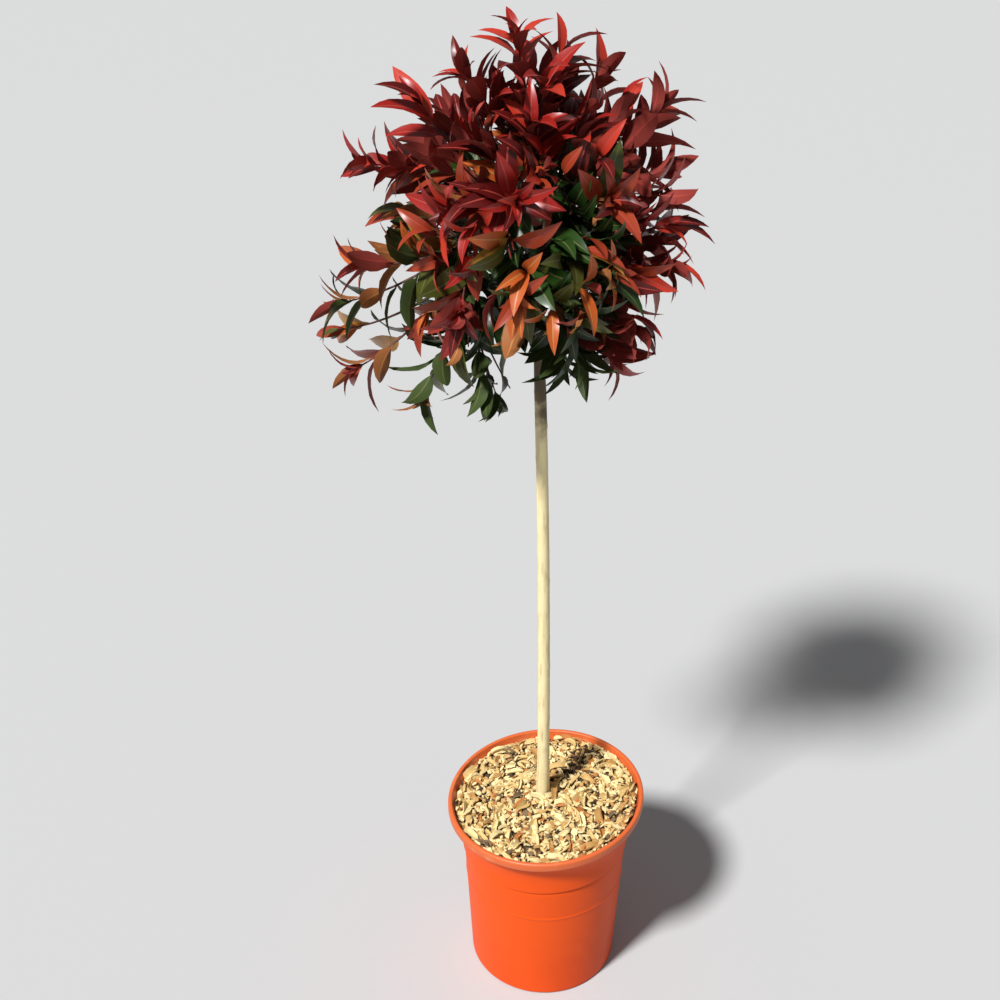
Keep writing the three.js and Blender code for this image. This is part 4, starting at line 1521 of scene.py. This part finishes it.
@dataclass
class Foliage:
    """Each mass's leaves and twigs, joined into two pieces, with their colours dealt out by spray."""

    crown: Crown
    twig_sides: int = 6
    twig_steps: int = 7
    stem_twig: float = 0.0021
    shoot_twig: float = 0.0014
    spur_twig: float = 0.0010
    twig_tip: float = 0.0006
    golden_side: tuple = (-0.090, 0.82)
    golden_blush: float = 0.45
    green_spot: tuple = (0.008, -0.080, 0.850)
    green_reach: float = 0.052
    green_depth: float = 0.42

    def build(self) -> None:
        """Builds and dresses every mass."""
        shape = LeafShape()
        uppers = palette(Tint, "leaf", 0.36, 0.05, 0.35)
        ribs, backs = palette(Rib, "rib", 0.5), palette(Back, "back", 0.55, 0.0, 0.3)
        twigs = palette(TwigAge, "twig", 0.6)
        for mass in self.crown.masses:
            leaves = self.leaves(mass, shape)
            slot = "green_leaves" if mass.name.startswith("lower") else "red_leaves"
            dress(joined(f"leaves_{mass.name}", leaves), uppers + ribs + backs, slot, f"foliage_{mass.name}")
            mesh = joined(f"twigs_{mass.name}", self.twigs(mass))
            dress(mesh, twigs, "bough_bark", f"foliage_{mass.name}")

    def leaves(self, mass: Mass, shape: LeafShape) -> list[tuple[Array, list, list]]:
        """A mass's leaves."""
        blocks = []
        for shoot in mass.shoots:
            spray = Draws(7000 + shoot.index)
            blush = self.blush_of(shoot, mass.name.startswith("lower")) + spray.spread(0.08)
            greening = mix(0.42, 0.16, self.golden_share(shoot.bend.end))
            for leaf in shoot.leaves:
                draws = Draws(9000 + leaf.key)
                ripeness = blush - greening * leaf.age + draws.spread(0.10)
                inner = shoot.index >= self.crown.first_inner_twig
                tint = self.shaded_tint(ripeness) if inner else self.tint_of(ripeness, draws)
                reds = (Tint.BRONZE, Tint.CRIMSON, Tint.DEEP_CRIMSON, Tint.SCARLET)
                warm = 2 if tint in reds else 1 if tint in (Tint.GOLD, Tint.ORANGE) else 0
                number = list(Tint).index(tint)
                kinds = {shape.upper: number, shape.rib: len(Tint) + warm, shape.under: len(Tint) + 3 + warm}
                blocks.append((shape.shaped(leaf, draws), shape.faces, [kinds[kind] for kind in shape.kinds]))
        return blocks

    def blush_of(self, shoot: Shoot, low: bool) -> float:
        """How far a spray has coloured, from about 0 for green to 1 for red; a low mass's less."""
        tip = shoot.bend.end
        high, far = (tip[2] - 0.83) / 0.15, self.crown.outwardness(tip) - 0.8
        blush = 0.78 + 0.35 * high + 1.0 * min(far, 0.10) - (0.47 if low else 0)
        blush += 0.66 * smoothly((tip[0] - 0.020) / 0.025) if low else 0.0
        spot = np.linalg.norm(tip - np.array(self.green_spot)) / self.green_reach
        blush -= self.green_depth * smoothly(1.6 - spot)
        if shoot.index >= self.crown.first_inner_twig:
            return blush
        return mix(blush, self.golden_blush, self.golden_share(tip))

    def golden_share(self, tip: Array) -> float:
        """How far a spray with its tip at a place belongs to the crown's golden side, from 0 to 1."""
        left, level = self.golden_side
        return smoothly((left + 0.04 - tip[0]) / 0.06) * smoothly((level + 0.10 - tip[2]) / 0.08)

    def tint_of(self, blush: float, draws: Draws) -> Tint:
        """The tint of a leaf that has coloured this far."""
        steps = (
            (0.14, Tint.DARK_GREEN), (0.30, Tint.GREEN), (0.37, Tint.OLIVE),
            (0.40, Tint.GOLD), (0.46, Tint.ORANGE), (0.60, Tint.BRONZE),
        )  # fmt: skip
        for limit, tint in steps:
            if blush < limit:
                return tint
        # Almost half the red leaves take the deep crimson, which is partly painted shade.
        chance = draws.next() + max(blush - 0.92, 0.0)
        return Tint.DEEP_CRIMSON if chance < 0.44 else Tint.CRIMSON if chance < 0.80 else Tint.SCARLET

    def shaded_tint(self, blush: float) -> Tint:
        """The tint of a leaf inside the crown that has coloured this far."""
        return Tint.DARK_GREEN if blush < 0.40 else Tint.GREEN if blush < 0.58 else Tint.DEEP_CRIMSON

    def twigs(self, mass: Mass) -> list[tuple[Array, list, list]]:
        """A mass's twigs."""
        blocks = []
        for number, shoot in enumerate(mass.shoots):
            thick = self.spur_twig if shoot.index >= self.crown.first_side_twig else self.shoot_twig if number else self.stem_twig
            points, faces = limb_mesh(
                shoot.bend, lambda t, thick=thick: mix(thick, self.twig_tip, t), self.twig_sides, self.twig_steps
            )
            young = 2 if self.blush_of(shoot, mass.name.startswith("lower")) > 0.62 else 1
            ages = [min(young, int(3 * step / self.twig_steps)) for step in range(self.twig_steps)]
            kinds = [age for age in ages for _ in range(self.twig_sides)] + [0, young]
            blocks.append((points, faces, kinds))
        return blocks


# ---- Studio ----
@dataclass
class Studio:
    """The camera, the floor and the lights round the object."""

    eye: tuple = (-0.0466, -1.208, 1.365)
    pitch: float = 33.2
    focal: float = 57.6
    sensor: float = 36.0
    middle: tuple = (-0.02, 0.0, 0.5)

    def build(self) -> None:
        """Sets up the camera, the floor, the lights and the sky."""
        data = bpy.data.cameras.new("camera")
        data.lens, data.sensor_width = self.focal, self.sensor
        camera = bpy.data.objects.new("camera", data)
        camera.location = self.eye
        camera.rotation_euler = (math.radians(90 - self.pitch), 0, 0)
        bpy.context.scene.collection.objects.link(camera)
        bpy.context.scene.camera = camera
        self.floor()
        self.sun((-0.68, -0.73), 52, 5.1, 8)
        self.sky(0.22)

    def floor(self) -> None:
        """A plain pale floor."""
        bm = bmesh.new()
        bmesh.ops.create_grid(bm, x_segments=1, y_segments=1, size=8)
        mesh = from_bmesh("floor", bm)
        mesh.materials.append(PlainFinish("floor_paper", (0.48, 0.48, 0.48), 0.9).material())
        floor = bpy.data.objects.new("floor", mesh)
        floor.location.z = -0.0005
        bpy.context.scene.collection.objects.link(floor)

    def sun(self, bearing: tuple, rise: float, strength: float, spread: float) -> None:
        """Adds the main light.

        Args:
            bearing: the level direction from the object to the light.
            rise: its height above the horizon in degrees.
            strength: its strength in watts per square metre.
            spread: how wide it looks in degrees, which softens the shadows.
        """
        data = bpy.data.lights.new("sun", "SUN")
        data.energy, data.angle = strength, math.radians(spread)
        lamp = bpy.data.objects.new("sun", data)
        level = Vector((*bearing, 0)).normalized() * math.cos(math.radians(rise))
        away = level + Vector((0, 0, math.sin(math.radians(rise))))
        lamp.location = Vector(self.middle) + 2 * away
        lamp.rotation_euler = away.to_track_quat("Z", "Y").to_euler()
        bpy.context.scene.collection.objects.link(lamp)

    def sky(self, strength: float) -> None:
        """A plain pale sky."""
        world = bpy.data.worlds.new("sky")
        world.use_nodes = True
        background = world.node_tree.nodes["Background"]
        background.inputs["Color"].default_value = (0.95, 0.97, 1.0, 1)
        background.inputs["Strength"].default_value = strength
        bpy.context.scene.world = world
        bpy.context.scene.view_settings.view_transform = "Standard"


def main() -> None:
    """Builds the plant and its pot, then the studio."""
    logging.basicConfig(level=logging.INFO, format="%(message)s")
    groups = Groups()
    pot = Pot()
    pot.build(groups)
    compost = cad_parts["compost"]
    compost.data.materials.clear()
    compost.data.materials.append(COMPOST.material(groups))
    Mulch(pot).build(groups)
    crown = Crown()
    Limbs(crown).build(groups)
    Foliage(crown).build()
    Studio().build()
    leaves = sum(len(shoot.leaves) for mass in crown.masses for shoot in mass.shoots)
    LOG.info("%d shoots, %d leaves", sum(len(mass.shoots) for mass in crown.masses), leaves)


if __name__ == "__main__":
    main()
